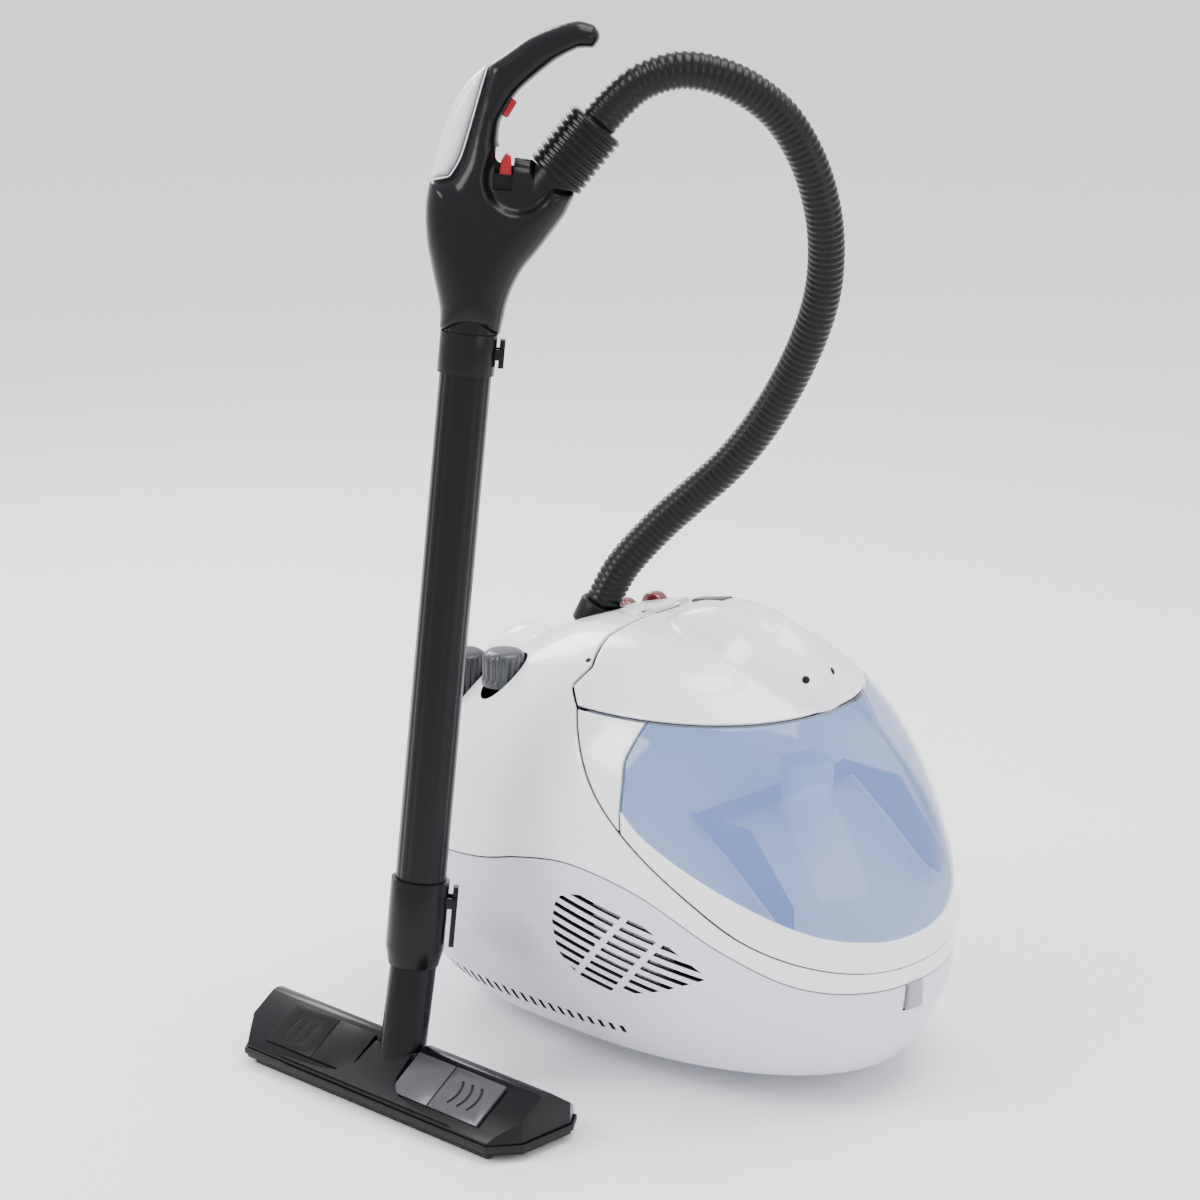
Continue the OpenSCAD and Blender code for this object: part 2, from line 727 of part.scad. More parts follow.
// ---------- floor brush ----------
pivot_at = [-7, 22];
pivot_radius = 19;
pin_radius = 3;
neck_half = 20;
neck_reach = 84;
neck_lean = 5.6;
brush_half = brush_length / 2;
brush_profile = [
    [-45, 5], [-45, 15], [-40, 20], [-4, ridge_height - 1], [0, ridge_height],
    [5, ridge_height - 0.5], [38, 22], [40, 16], [40, 5]
];
cavity_profile = [[-42, 4], [-42, 14], [-38, 18], [0, ridge_height - 4], [35, 19], [37, 14], [37, 4]];
plan_outline = [
    [-brush_half, -24], [-brush_half + 16, -45], [brush_half - 16, -45], [brush_half, -24],
    [brush_half, 26], [brush_half - 10, 40], [-brush_half + 10, 40], [-brush_half, 26]
];
module along_brush(profile, length) {
    rotate([90, 0, 90]) linear_extrude(height = length, center = true) polygon(profile);
}
module brush_neck() {
    color("black") difference() {
        on_brush() translate([0, pivot_at[0], pivot_at[1]]) {
            rotate([0, 90, 0]) cylinder(r = pivot_radius - 1, h = 2 * neck_half, center = true);
            rotate([-neck_lean - 5, 0, 0]) cylinder(r = 17.5, h = neck_reach);
        }
        on_brush() translate([0, pivot_at[0], pivot_at[1]]) rotate([0, 90, 0])
            cylinder(r = pin_radius + fit_gap, h = 80, center = true);
        on_wand() translate([-40, -40, -0.1]) cube(80);
    }
}
module neck_pin() {
    color("silver") on_brush() translate([0, pivot_at[0], pivot_at[1]]) rotate([0, 90, 0])
        cylinder(r = pin_radius, h = 2 * neck_half + 9, center = true);
}
module brush_housing() {
    color("black") on_brush() difference() {
        union() {
            difference() {
                intersection() {
                    along_brush(brush_profile, brush_length);
                    linear_extrude(height = 60) polygon(plan_outline);
                }
                intersection() {
                    along_brush(cavity_profile, brush_length - 6);
                    linear_extrude(height = 60) scale([0.98, 0.93]) polygon(plan_outline);
                }
            }
            for (s = [-1, 1]) {
                translate([s * (neck_half + 3) - 2.5, -20, 12]) cube([5, 34, 21]);
            }
        }
        translate([-neck_half - 0.5, pivot_at[0] - pivot_radius, -1])
            cube([2 * neck_half + 1, 2 * pivot_radius + 18, 60]);
        translate([0, pivot_at[0], pivot_at[1]]) rotate([0, 90, 0])
            cylinder(r = pin_radius + 0.02, h = 60, center = true);
    }
}
module sole_plate() {
    color("dimgray") on_brush() difference() {
        translate([-brush_half + 17, -40, 5]) cube([brush_length - 34, 74, 3]);
        translate([-100, -33, 0]) cube([200, 14, 20]);
        translate([-neck_half - 1, pivot_at[0] - pivot_radius, 0])
            cube([2 * neck_half + 2, 2 * pivot_radius + 4, 20]);
    }
}
module bristle_strips() {
    color("black") on_brush() for (y = [-40, 26]) {
        translate([-brush_half + 20, y, 0]) cube([brush_length - 40, 6, 4.9]);
    }
}
module brush_bumper() {
    color("black") on_brush() translate([0, 0, 8]) linear_extrude(height = 5) difference() {
        offset(delta = 2.2) polygon(plan_outline);
        offset(delta = 0.1) polygon(plan_outline);
    }
}
slope_angle = 34;
slider_length = 92;
module slider(x0) {
    color("gray") on_brush() translate([x0, -39, 20.9]) rotate([slope_angle, 0, 0])
        cube([slider_length, 38, 2.5]);
}
module slider_left() {
    slider(-24 - slider_length);
}
module slider_right() {
    slider(24);
}

base_pan();
rear_casing();
lid();
lid_grip();
lid_lenses();
lid_hinge_pin();
visor();
visor_side_panels();
bucket_floor();
filter_frame();
filter_float();
front_latch();
vacuum_switch();
steam_switch();
steam_knob();
boiler_cap();
rear_hump();
boiler();
heating_plate();
motor();
motor_seat();
impeller();
exhaust_filter();
circuit_board();
cord_gland();
hose_socket();
hose();
hose_collar();
castor_fork_front_left();
castor_fork_front_right();
castor_fork_rear_left();
castor_fork_rear_right();
castor_wheel_front_left();
castor_wheel_front_right();
castor_wheel_rear_left();
castor_wheel_rear_right();
handle_shell_left();
handle_shell_right();
handle_duct();
back_insert();
trigger();
trigger_switch();
steam_button();
tube_collar();
upper_latch();
extension_tube();
steam_pipe();
lower_socket();
lower_latch();
brush_neck();
neck_pin();
brush_housing();
sole_plate();
bristle_strips();
brush_bumper();
slider_left();
slider_right();
casing_screws();
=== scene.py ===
import json
import math
import bpy
import bmesh
import numpy as np
from mathutils import Matrix, Vector


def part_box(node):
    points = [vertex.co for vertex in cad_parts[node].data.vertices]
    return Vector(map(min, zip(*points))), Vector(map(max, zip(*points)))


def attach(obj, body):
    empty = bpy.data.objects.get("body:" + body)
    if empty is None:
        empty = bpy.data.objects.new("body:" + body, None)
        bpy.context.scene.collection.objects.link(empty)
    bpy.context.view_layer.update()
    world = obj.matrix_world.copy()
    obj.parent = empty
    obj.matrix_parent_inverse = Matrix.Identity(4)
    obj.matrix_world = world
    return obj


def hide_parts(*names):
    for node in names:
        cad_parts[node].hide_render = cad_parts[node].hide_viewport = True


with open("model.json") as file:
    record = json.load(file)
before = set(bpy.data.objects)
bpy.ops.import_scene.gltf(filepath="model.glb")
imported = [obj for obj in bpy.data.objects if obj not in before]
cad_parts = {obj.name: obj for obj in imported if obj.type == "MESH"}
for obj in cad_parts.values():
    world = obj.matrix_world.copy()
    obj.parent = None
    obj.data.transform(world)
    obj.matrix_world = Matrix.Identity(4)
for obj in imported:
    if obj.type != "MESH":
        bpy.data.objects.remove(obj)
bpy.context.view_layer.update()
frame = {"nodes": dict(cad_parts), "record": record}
nodes = frame["nodes"]
mm = 0.001
slotOf = {part["node"]: part["material_slot"] for part in frame["record"]["subparts"]}
bodyOf = {n: b for b, group in frame["record"]["behaviour"]["bodies"].items() for n in group}

# ---- view and light ----
viewPlan = {
    "target": (0.047, 0.067, 0.150),   # point of the machine that the camera is measured from
    "azimuth": 41.98,
    "elevation": 20.34,
    "distance": 3.0,
    "lens": 115.9,
    "aimRight": -0.03483,              # how far the middle of the view lies off the target
    "aimUp": 0.06547,
}
az = math.radians(viewPlan["azimuth"])
el = math.radians(viewPlan["elevation"])
backWay = Vector((math.sin(az) * math.cos(el), -math.cos(az) * math.cos(el), math.sin(el)))
rightWay = Vector((math.cos(az), math.sin(az), 0))
upWay = backWay.cross(rightWay)
cameraData = bpy.data.cameras.new("camera")
cameraData.lens = viewPlan["lens"]
cameraData.sensor_width = 36
camera = bpy.data.objects.new("camera", cameraData)
bpy.context.scene.collection.objects.link(camera)
camera.location = Vector(viewPlan["target"]) + backWay * viewPlan["distance"]
aim = -backWay + rightWay * viewPlan["aimRight"] + upWay * viewPlan["aimUp"]
camera.rotation_euler = aim.to_track_quat("-Z", "Y").to_euler()
bpy.context.scene.camera = camera


# ---- shared helpers ----
def smoothLine(points, steps):
    # curve through the points, with the same number of steps between each pair
    p = [np.array(q, float) for q in points]
    line = []
    for i in range(len(p) - 1):
        a, b, c, d = p[max(i - 1, 0)], p[i], p[i + 1], p[min(i + 2, len(p) - 1)]
        for s in range(steps):
            t = s / steps
            line.append(0.5 * (2 * b + (c - a) * t + (2 * a - 5 * b + 4 * c - d) * t ** 2
                               + (3 * b - a - 3 * c + d) * t ** 3))
    return line + [p[-1]]


def finish(name, bm, body, material, replaced=(), sharp=35, inside=None):
    # turns a bmesh into a piece that rides on its body
    mesh = bpy.data.meshes.new(name)
    bm.to_mesh(mesh)
    bm.free()
    piece = bpy.data.objects.new(name, mesh)
    bpy.context.scene.collection.objects.link(piece)
    mesh.materials.append(material)
    if inside:
        mesh.materials.append(inside)
    soften(piece, sharp)
    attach(piece, body)
    if replaced:
        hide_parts(*replaced)
    return piece


def soften(piece, sharp):
    piece.data.shade_smooth()
    piece.data.set_sharp_from_angle(angle=math.radians(sharp))


def bake(piece, sharp=35):
    # applies the piece's modifiers
    bpy.context.view_layer.update()
    graph = bpy.context.evaluated_depsgraph_get()
    mesh = bpy.data.meshes.new_from_object(piece.evaluated_get(graph))
    piece.modifiers.clear()
    old = piece.data
    piece.data = mesh
    bpy.data.meshes.remove(old)
    soften(piece, sharp)
    return piece


def bevelled(piece, width, segments=2, angle=40):
    mod = piece.modifiers.new("edges", "BEVEL")
    mod.width = width * mm
    mod.segments = segments
    mod.limit_method = "ANGLE"
    mod.angle_limit = math.radians(angle)
    mod.use_clamp_overlap = True
    return piece


def thickened(piece, wall, insideSlot=0):
    mod = piece.modifiers.new("wall", "SOLIDIFY")
    mod.thickness = wall * mm
    mod.offset = -1
    mod.use_even_offset = True
    mod.material_offset = insideSlot
    mod.material_offset_rim = 0
    return piece


def cutFrom(piece, cutter, wallFinish=None):
    mod = piece.modifiers.new("cut", "BOOLEAN")
    mod.operation = "DIFFERENCE"
    mod.solver = "EXACT"
    mod.object = cutter
    if wallFinish:
        cutter.data.materials.append(wallFinish)
        mod.material_mode = "TRANSFER"
    bake(piece)
    bpy.data.objects.remove(cutter)
    return piece


def loose(name, bm):
    # a helper object that isn't kept
    mesh = bpy.data.meshes.new(name)
    bm.to_mesh(mesh)
    bm.free()
    helper = bpy.data.objects.new(name, mesh)
    bpy.context.scene.collection.objects.link(helper)
    return helper


def addBox(bm, low, high, matrix=Matrix.Identity(4)):
    low, high = Vector(low), Vector(high)
    made = bmesh.ops.create_cube(bm, size=1)["verts"]
    size = high - low
    bmesh.ops.scale(bm, vec=size, verts=made)
    bmesh.ops.translate(bm, vec=(low + high) / 2, verts=made)
    bmesh.ops.transform(bm, matrix=matrix, verts=made)
    return made


def cutAlong(bm, field):
    # splits the faces where the field crosses zero and drops the side where it is negative
    values = {v: field(v.co) for v in bm.verts}
    for edge in list(bm.edges):
        a, b = edge.verts
        fa, fb = values[a], values[b]
        if fa * fb >= 0:
            continue
        t = fa / (fa - fb)
        if t < 0.12:
            a.co = a.co.lerp(b.co, t)
            values[a] = 0.0
        elif t > 0.88:
            b.co = a.co.lerp(b.co, t)
            values[b] = 0.0
    for edge in list(bm.edges):
        a, b = edge.verts
        fa, fb = values[a], values[b]
        if fa * fb < 0:
            made = bmesh.utils.edge_split(edge, a, fa / (fa - fb))[1]
            values[made] = 0.0
    crossing = [v for v, f in values.items() if abs(f) < 1e-12]
    bmesh.ops.connect_verts(bm, verts=crossing)
    gone = [f for f in bm.faces if min(values[v] for v in f.verts) < -1e-12]
    bmesh.ops.delete(bm, geom=gone, context="FACES")
    return bm


def polished(node, material, width=0.6, segments=2, angle=30, sharp=32):
    # the CAD node's shape with its edges rounded
    bm = bmesh.new()
    bm.from_mesh(nodes[node].data)
    bmesh.ops.remove_doubles(bm, verts=bm.verts, dist=0.02 * mm)
    bmesh.ops.dissolve_limit(bm, angle_limit=math.radians(0.5), verts=bm.verts, edges=bm.edges)
    piece = finish(node + "Moulding", bm, bodyOf[node], material, [node])
    bevelled(piece, width, segments, angle)
    return bake(piece, sharp)


# ---- shader groups ----
def nodeSpot(tree, kind, **values):
    made = tree.nodes.new(kind)
    for key, value in values.items():
        if hasattr(made, key):
            setattr(made, key, value)
        else:
            made.inputs[key].default_value = value
    return made


def makeGrainGroup():
    # fine moulded grain: roughness that wanders and a height for the bump
    group = bpy.data.node_groups.new("mouldedGrain", "ShaderNodeTree")
    for label, start in (("Scale", 900.0), ("Rough", 0.3), ("Spread", 0.06), ("Depth", 0.2)):
        socket = group.interface.new_socket(label, in_out="INPUT", socket_type="NodeSocketFloat")
        socket.default_value = start
    for label in ("Roughness", "Height"):
        group.interface.new_socket(label, in_out="OUTPUT", socket_type="NodeSocketFloat")
    put = group.nodes.new("NodeGroupInput")
    out = group.nodes.new("NodeGroupOutput")
    where = group.nodes.new("ShaderNodeTexCoord")
    fine = nodeSpot(group, "ShaderNodeTexNoise")
    fine.inputs["Detail"].default_value = 3
    broad = nodeSpot(group, "ShaderNodeTexNoise")
    broad.inputs["Scale"].default_value = 14
    group.links.new(where.outputs["Object"], fine.inputs["Vector"])
    group.links.new(where.outputs["Object"], broad.inputs["Vector"])
    group.links.new(put.outputs["Scale"], fine.inputs["Scale"])
    centre = nodeSpot(group, "ShaderNodeMath", operation="SUBTRACT")
    centre.inputs[1].default_value = 0.5
    group.links.new(broad.outputs["Fac"], centre.inputs[0])
    swing = nodeSpot(group, "ShaderNodeMath", operation="MULTIPLY_ADD")
    group.links.new(centre.outputs[0], swing.inputs[0])
    group.links.new(put.outputs["Spread"], swing.inputs[1])
    group.links.new(put.outputs["Rough"], swing.inputs[2])
    group.links.new(swing.outputs[0], out.inputs["Roughness"])
    deep = nodeSpot(group, "ShaderNodeMath", operation="MULTIPLY")
    group.links.new(fine.outputs["Fac"], deep.inputs[0])
    group.links.new(put.outputs["Depth"], deep.inputs[1])
    group.links.new(deep.outputs[0], out.inputs["Height"])
    return group


def makeToneGroup():
    # slow drift between two close colours, as in a moulded part
    group = bpy.data.node_groups.new("toneDrift", "ShaderNodeTree")
    for label in ("Tone", "Second Tone"):
        group.interface.new_socket(label, in_out="INPUT", socket_type="NodeSocketColor")
    scale = group.interface.new_socket("Scale", in_out="INPUT", socket_type="NodeSocketFloat")
    scale.default_value = 9.0
    group.interface.new_socket("Color", in_out="OUTPUT", socket_type="NodeSocketColor")
    put = group.nodes.new("NodeGroupInput")
    out = group.nodes.new("NodeGroupOutput")
    where = group.nodes.new("ShaderNodeTexCoord")
    cloud = nodeSpot(group, "ShaderNodeTexNoise")
    cloud.inputs["Detail"].default_value = 2
    mix = nodeSpot(group, "ShaderNodeMix", data_type="RGBA")
    group.links.new(where.outputs["Object"], cloud.inputs["Vector"])
    group.links.new(put.outputs["Scale"], cloud.inputs["Scale"])
    group.links.new(cloud.outputs["Fac"], mix.inputs[0])
    group.links.new(put.outputs["Tone"], mix.inputs[6])
    group.links.new(put.outputs["Second Tone"], mix.inputs[7])
    group.links.new(mix.outputs[2], out.inputs["Color"])
    return group


grainGroup = makeGrainGroup()
toneGroup = makeToneGroup()


def plastic(name, tone, rough=0.3, second=None, grain=900, depth=0.15, spread=0.06, metal=0.0,
            coat=0.0, alpha=1.0, specular=0.5):
    material = bpy.data.materials.new(name)
    material.use_nodes = True
    tree = material.node_tree
    shader = tree.nodes["Principled BSDF"]
    surface = tree.nodes.new("ShaderNodeGroup")
    surface.node_tree = grainGroup
    surface.inputs["Scale"].default_value = grain
    surface.inputs["Rough"].default_value = rough
    surface.inputs["Spread"].default_value = spread
    surface.inputs["Depth"].default_value = depth
    drift = tree.nodes.new("ShaderNodeGroup")
    drift.node_tree = toneGroup
    drift.inputs["Tone"].default_value = (*tone, 1)
    drift.inputs["Second Tone"].default_value = (*(second or [c * 0.9 for c in tone]), 1)
    bump = tree.nodes.new("ShaderNodeBump")
    bump.inputs["Strength"].default_value = 0.35
    bump.inputs["Distance"].default_value = 0.0003
    tree.links.new(surface.outputs["Height"], bump.inputs["Height"])
    tree.links.new(surface.outputs["Roughness"], shader.inputs["Roughness"])
    tree.links.new(drift.outputs["Color"], shader.inputs["Base Color"])
    tree.links.new(bump.outputs["Normal"], shader.inputs["Normal"])
    shader.inputs["Metallic"].default_value = metal
    shader.inputs["Coat Weight"].default_value = coat
    shader.inputs["Coat Roughness"].default_value = 0.06
    shader.inputs["Specular IOR Level"].default_value = specular
    shader.inputs["Alpha"].default_value = alpha
    if alpha < 1:
        material.surface_render_method = "BLENDED"
    return material


finishes = {
    "base_lavender": plastic("baseLavender", (0.70, 0.70, 0.80), 0.26, (0.67, 0.67, 0.78), coat=0.25),
    "casing_white": plastic("casingWhite", (0.92, 0.925, 0.94), 0.18, (0.90, 0.905, 0.925), coat=0.4),
    "visor_blue": plastic("visorBlue", (0.19, 0.32, 0.66), 0.08, (0.23, 0.36, 0.68), depth=0.02,
                          coat=0.7, alpha=0.36),
    "bucket_pale": plastic("bucketPale", (0.72, 0.78, 0.86), 0.35, coat=0.2),
    # deep blue plate inside the bucket: the tank's own blue, darkened partly as painted shade for the
    # shadowed inside of the bucket
    "frame_blue": plastic("frameBlue", (0.03, 0.07, 0.30), 0.3),
    "float_white": plastic("floatWhite", (0.50, 0.60, 0.80), 0.4),
    "latch_grey": plastic("latchGrey", (0.33, 0.34, 0.37), 0.3, coat=0.2),
    "switch_red": plastic("switchRed", (0.16, 0.012, 0.018), 0.2, coat=0.5),
    "knob_grey": plastic("knobGrey", (0.04, 0.042, 0.05), 0.26),
    "cap_dark": plastic("capDark", (0.02, 0.02, 0.028), 0.33, specular=0.4),
    "black_gloss": plastic("blackGloss", (0.0035, 0.0033, 0.0045), 0.24, (0.005, 0.0047, 0.006),
                           coat=0.05, specular=0.16),
    "black_matte": plastic("blackMatte", (0.005, 0.005, 0.006), 0.38, depth=0.4, specular=0.16),
    "hose_black": plastic("hoseBlack", (0.004, 0.004, 0.005), 0.3, (0.006, 0.006, 0.007), specular=0.2),
    "trigger_red": plastic("triggerRed", (0.33, 0.0, 0.002), 0.25, (0.29, 0.0, 0.002), coat=0.2,
                           specular=0.3),
    "insert_pale": plastic("insertPale", (0.78, 0.80, 0.83), 0.18, coat=0.4),
    "soft_black": plastic("softBlack", (0.006, 0.006, 0.007), 0.5, depth=0.4, specular=0.25),
    "bristle_black": plastic("bristleBlack", (0.018, 0.018, 0.018), 0.7, grain=2500, depth=1.0),
    "steel": plastic("steel", (0.62, 0.62, 0.64), 0.3, metal=1.0),
    "chrome_pin": plastic("chromePin", (0.8, 0.8, 0.82), 0.12, metal=1.0, depth=0.02),
    "heater_iron": plastic("heaterIron", (0.16, 0.15, 0.145), 0.6, depth=0.8),
    "motor_steel": plastic("motorSteel", (0.2, 0.21, 0.23), 0.35, metal=0.6),
    "filter_paper": plastic("filterPaper", (0.8, 0.8, 0.76), 0.8, grain=1500, depth=1.0),
    "board_green": plastic("boardGreen", (0.02, 0.13, 0.05), 0.4),
    "impeller_metal": plastic("impellerMetal", (0.66, 0.67, 0.69), 0.25, metal=1.0),
    "slider_grey": plastic("sliderGrey", (0.045, 0.045, 0.052), 0.3, coat=0.1),
}
# painted shade: the inner faces of the shells and the walls of cut slots and holes are made near black for
# the shaded hollow inside, though the plastic there is the shell's own colour
paintedShadeInside = plastic("paintedShadeInside", (0.02, 0.02, 0.024), 0.6, specular=0.2)
# painted shade: dark sheets and dots set inside the seam gaps so the seams show as dark lines
paintedSeamShade = plastic("paintedSeamShade", (0.02, 0.02, 0.025), 0.6, specular=0.2)
for node, item in nodes.items():
    item.data.materials.clear()
    item.data.materials.append(finishes[slotOf[node]])
print("finishes made")

# ---- floor and lights ----
floorBm = bmesh.new()
bmesh.ops.create_grid(floorBm, x_segments=1, y_segments=1, size=12)
floor = loose("floor", floorBm)
paleFloor = plastic("paleFloor", (0.93, 0.93, 0.93), 0.7, (0.93, 0.93, 0.93), depth=0.0, specular=0.1)
floor.data.materials.append(paleFloor)

world = bpy.data.worlds.new("studio")
bpy.context.scene.world = world
world.use_nodes = True
world.node_tree.nodes["Background"].inputs["Color"].default_value = (0.95, 0.96, 1.0, 1)
world.node_tree.nodes["Background"].inputs["Strength"].default_value = 1.45


def areaLight(name, place, target, size, power):
    data = bpy.data.lights.new(name, "AREA")
    data.energy = power
    data.size = size
    lamp = bpy.data.objects.new(name, data)
    bpy.context.scene.collection.objects.link(lamp)
    lamp.location = place
    lamp.rotation_euler = (Vector(target) - Vector(place)).to_track_quat("-Z", "Y").to_euler()
    return lamp


areaLight("keyLight", (-0.9, -1.9, 2.0), (0, 0, 0.3), 1.1, 44)
areaLight("rimLight", (-1.6, 0.6, 1.4), (0, 0, 0.4), 0.7, 18)
areaLight("fillLight", (2.2, 0.2, 1.2), (0, 0, 0.3), 1.4, 12)
areaLight("topLight", (0.3, 0.6, 2.4), (0, 0, 0.3), 1.4, 44)
print("view, floor and lights ready")

# ---- hose ----
hosePlan = {"diameter": 28, "ribPitch": 5.2, "ribDepth": 1.1, "ribShape": (0, 0.15, 1, 0.85), "sides": 32}
wandPlan = {
    "foot": (-51, -180, 104), "lean": 7.8, "tube": 478, "handleTurn": 45,
    "armFoot": (51.3, 0, 118.1), "armAngle": 33.8, "collar": 49,
}
wandMatrix = (Matrix.Translation(Vector(wandPlan["foot"]) * mm)
              @ Matrix.Rotation(math.radians(-wandPlan["lean"]), 4, "X"))
handleMatrix = (wandMatrix @ Matrix.Translation((0, 0, wandPlan["tube"] * mm))
                @ Matrix.Rotation(math.radians(wandPlan["handleTurn"]), 4, "Z"))
armMatrix = (handleMatrix @ Matrix.Translation(Vector(wandPlan["armFoot"]) * mm)
             @ Matrix.Rotation(math.radians(wandPlan["armAngle"]), 4, "Y"))
collarEnd = armMatrix @ Vector((0, 0, wandPlan["collar"] * mm))
route = [
    (-85, 60, 328), (-73, 70, 358), (-49, 86, 392), (-25, 98, 418), (0, 110, 445), (23, 118, 475),
    (45, 123, 510), (65, 125, 548), (81, 123, 586), (91, 116, 622), (96, 105, 658), (95, 90, 694),
    (88, 71, 726), (76, 49, 748), (61, 27, 761), (43, 6, 765), (25, -14, 757), (13, -28, 742),
]
route = [Vector(p) * mm for p in route] + [collarEnd]


def evenly(points, step):
    # the same line with points an even step apart
    points = [Vector(p) for p in points]
    lengths = [0.0]
    for a, b in zip(points, points[1:]):
        lengths.append(lengths[-1] + (b - a).length)
    count = max(2, round(lengths[-1] / step))
    result = []
    for i in range(count + 1):
        want = lengths[-1] * i / count
        k = min(max(np.searchsorted(lengths, want) - 1, 0), len(points) - 2)
        t = (want - lengths[k]) / max(lengths[k + 1] - lengths[k], 1e-9)
        result.append(points[k].lerp(points[k + 1], t))
    return result, lengths[-1]


def sweepTube(path, radii, sides, startWay, endWay):
    # carries a ring along a path, with a radius for each point, and closes both ends
    bm = bmesh.new()
    last = len(path) - 1
    ways = []
    for i in range(last + 1):
        way = (path[min(i + 1, last)] - path[max(i - 1, 0)]).normalized()
        ways.append(way)
    ways[0] = startWay
    ways[-1] = endWay
    turn = ways[0].to_track_quat("Z", "Y")
    ring = bmesh.ops.create_circle(bm, cap_ends=False, segments=sides, radius=1)["verts"]
    firstRing = ring
    home = [v.co.copy() for v in ring]
    for i in range(last + 1):
        if i:
            turn = ways[i - 1].rotation_difference(ways[i]) @ turn
            edges = [bm.edges.get((ring[k], ring[(k + 1) % sides])) for k in range(sides)]
            made = bmesh.ops.extrude_edge_only(bm, edges=edges)["geom"]
            fresh = [g for g in made if isinstance(g, bmesh.types.BMVert)]
            twin = {}
            for v in fresh:
                for e in v.link_edges:
                    other = e.other_vert(v)
                    if other in oldSet:
                        twin[other] = v
            ring = [twin[v] for v in ring]
        oldSet = set(ring)
        for v, spot in zip(ring, home):
            v.co = path[i] + turn @ (spot * radii[i])
    bmesh.ops.contextual_create(bm, geom=firstRing)
    bmesh.ops.contextual_create(bm, geom=ring)
    bmesh.ops.recalc_face_normals(bm, faces=bm.faces)
    return bm


hoseLine, hoseLength = evenly(smoothLine(route, 8), hosePlan["ribPitch"] * mm / 4)
hoseRadii = []
for i in range(len(hoseLine)):
    ribbed = hosePlan["ribShape"][i % 4]
    hoseRadii.append((hosePlan["diameter"] / 2 - hosePlan["ribDepth"] * (1 - ribbed)) * mm)
socketTilt = math.radians(25)
socketHeading = math.radians(37)
socketWay = Vector((math.sin(socketTilt) * math.cos(socketHeading),
                    math.sin(socketTilt) * math.sin(socketHeading), math.cos(socketTilt)))
socketMatrix = (Matrix.Translation(route[0]) @ Matrix.Rotation(socketHeading, 4, "Z")
                @ Matrix.Rotation(socketTilt, 4, "Y"))
armWay = (armMatrix.to_3x3() @ Vector((0, 0, 1))).normalized()
hoseBm = sweepTube(hoseLine, hoseRadii, hosePlan["sides"], socketWay, -armWay)
hose = finish("ribbedHose", hoseBm, "machine", finishes["hose_black"], ["hose"], 60)
print("hose made, length", round(hoseLength, 3))

# ---- body shells ----
bodyForm = {
    "place": (-5, 67), "nose": 237, "tail": 222, "half": 168, "top": 334, "ground": 24, "wall": 3.0,
    "gap": 1.2, "frontRound": 2.15, "rearRound": 2.9, "columns": 168, "rows": 110,
}
noseHeight, tailHeight, sideHeight, keelDepth = 110, 120, 150, 150
bodyPlace = Vector((bodyForm["place"][0], bodyForm["place"][1], 0)) * mm
bodyMatrix = Matrix.Translation(bodyPlace)


def crown(u, p, q):
    return max(0.0, 1 - abs(u) ** p) ** (1 / q)


def bodyPoint(unit, inset=0.0):
    # a point of the unit sphere carried to the body's surface, in millimetres
    top = bodyForm["top"] - inset
    if unit.z > 0:
        z = sideHeight + (top - sideHeight) * unit.z
    else:
        z = sideHeight + (keelDepth + 10) * unit.z
    if z > sideHeight:
        side = crown((z - sideHeight) / (top - sideHeight), 2.15, 2.6)
    else:
        side = crown((sideHeight - z) / (keelDepth + 10), 2.4, 2.4)
    if unit.x > 0:
        power = bodyForm["frontRound"]
        low = crown((noseHeight - z) / keelDepth, 2.4, 2.4)
        high = crown((z - noseHeight) / (top - noseHeight), 1.55, 2.6)
        reach = (bodyForm["nose"] - inset) * (high if z > noseHeight else low)
    else:
        power = bodyForm["rearRound"]
        low = crown((tailHeight - z) / keelDepth, 2.4, 2.4)
        high = crown((z - tailHeight) / (top - tailHeight), 1.7, 2.2)
        reach = (bodyForm["tail"] - inset) * (high if z > tailHeight else low)
    flat = math.hypot(unit.x, unit.y)
    c, s = (unit.x / flat, unit.y / flat) if flat > 1e-9 else (1.0, 0.0)
    x = reach * math.copysign(abs(c) ** (2 / power), c)
    y = (bodyForm["half"] - inset) * side * math.copysign(abs(s) ** (2 / power), s)
    return Vector((x, y, z))


def bodySkin(inset=0.0):
    bm = bmesh.new()
    bmesh.ops.create_uvsphere(bm, u_segments=bodyForm["columns"], v_segments=bodyForm["rows"], radius=1)
    bmesh.ops.rotate(bm, matrix=Matrix.Rotation(0.0001, 3, "Z"), verts=bm.verts)
    for v in bm.verts:
        v.co = bodyPoint(v.co, inset) * mm
    return bm


frontSeam = smoothLine([(7, 287), (42, 244), (77, 213), (132, 172), (177, 139), (237, 111), (300, 92)], 5)
baseLine = smoothLine([(-300, 148), (-88, 160), (-8, 177), (42, 182), (102, 168), (164, 131),
                       (217, 102), (300, 84)], 5)
lidEdge = [(7, 288), (-10, 300), (-5, 312), (-18, 326), (-24, 400)]
lidLevel = 289
halfGap = bodyForm["gap"] / 2
seamWidths = {"lidRear": 1.9, "panelRear": 1.3, "lidLow": 1.2, "visorRear": 0.9}
edgeHeights = [p[1] for p in reversed(frontSeam)] + [p[1] for p in lidEdge]
edgeReach = [p[0] for p in reversed(frontSeam)] + [p[0] for p in lidEdge]
baseX = [p[0] for p in baseLine]
baseZ = [p[1] for p in baseLine]


def rearEdge(z):
    return float(np.interp(z, edgeHeights, edgeReach))


def baseHeight(x):
    return float(np.interp(x, baseX, baseZ))


def inBase(co):
    return baseHeight(co.x / mm) - halfGap - co.z / mm


def overBase(co):
    return co.z / mm - baseHeight(co.x / mm) - halfGap


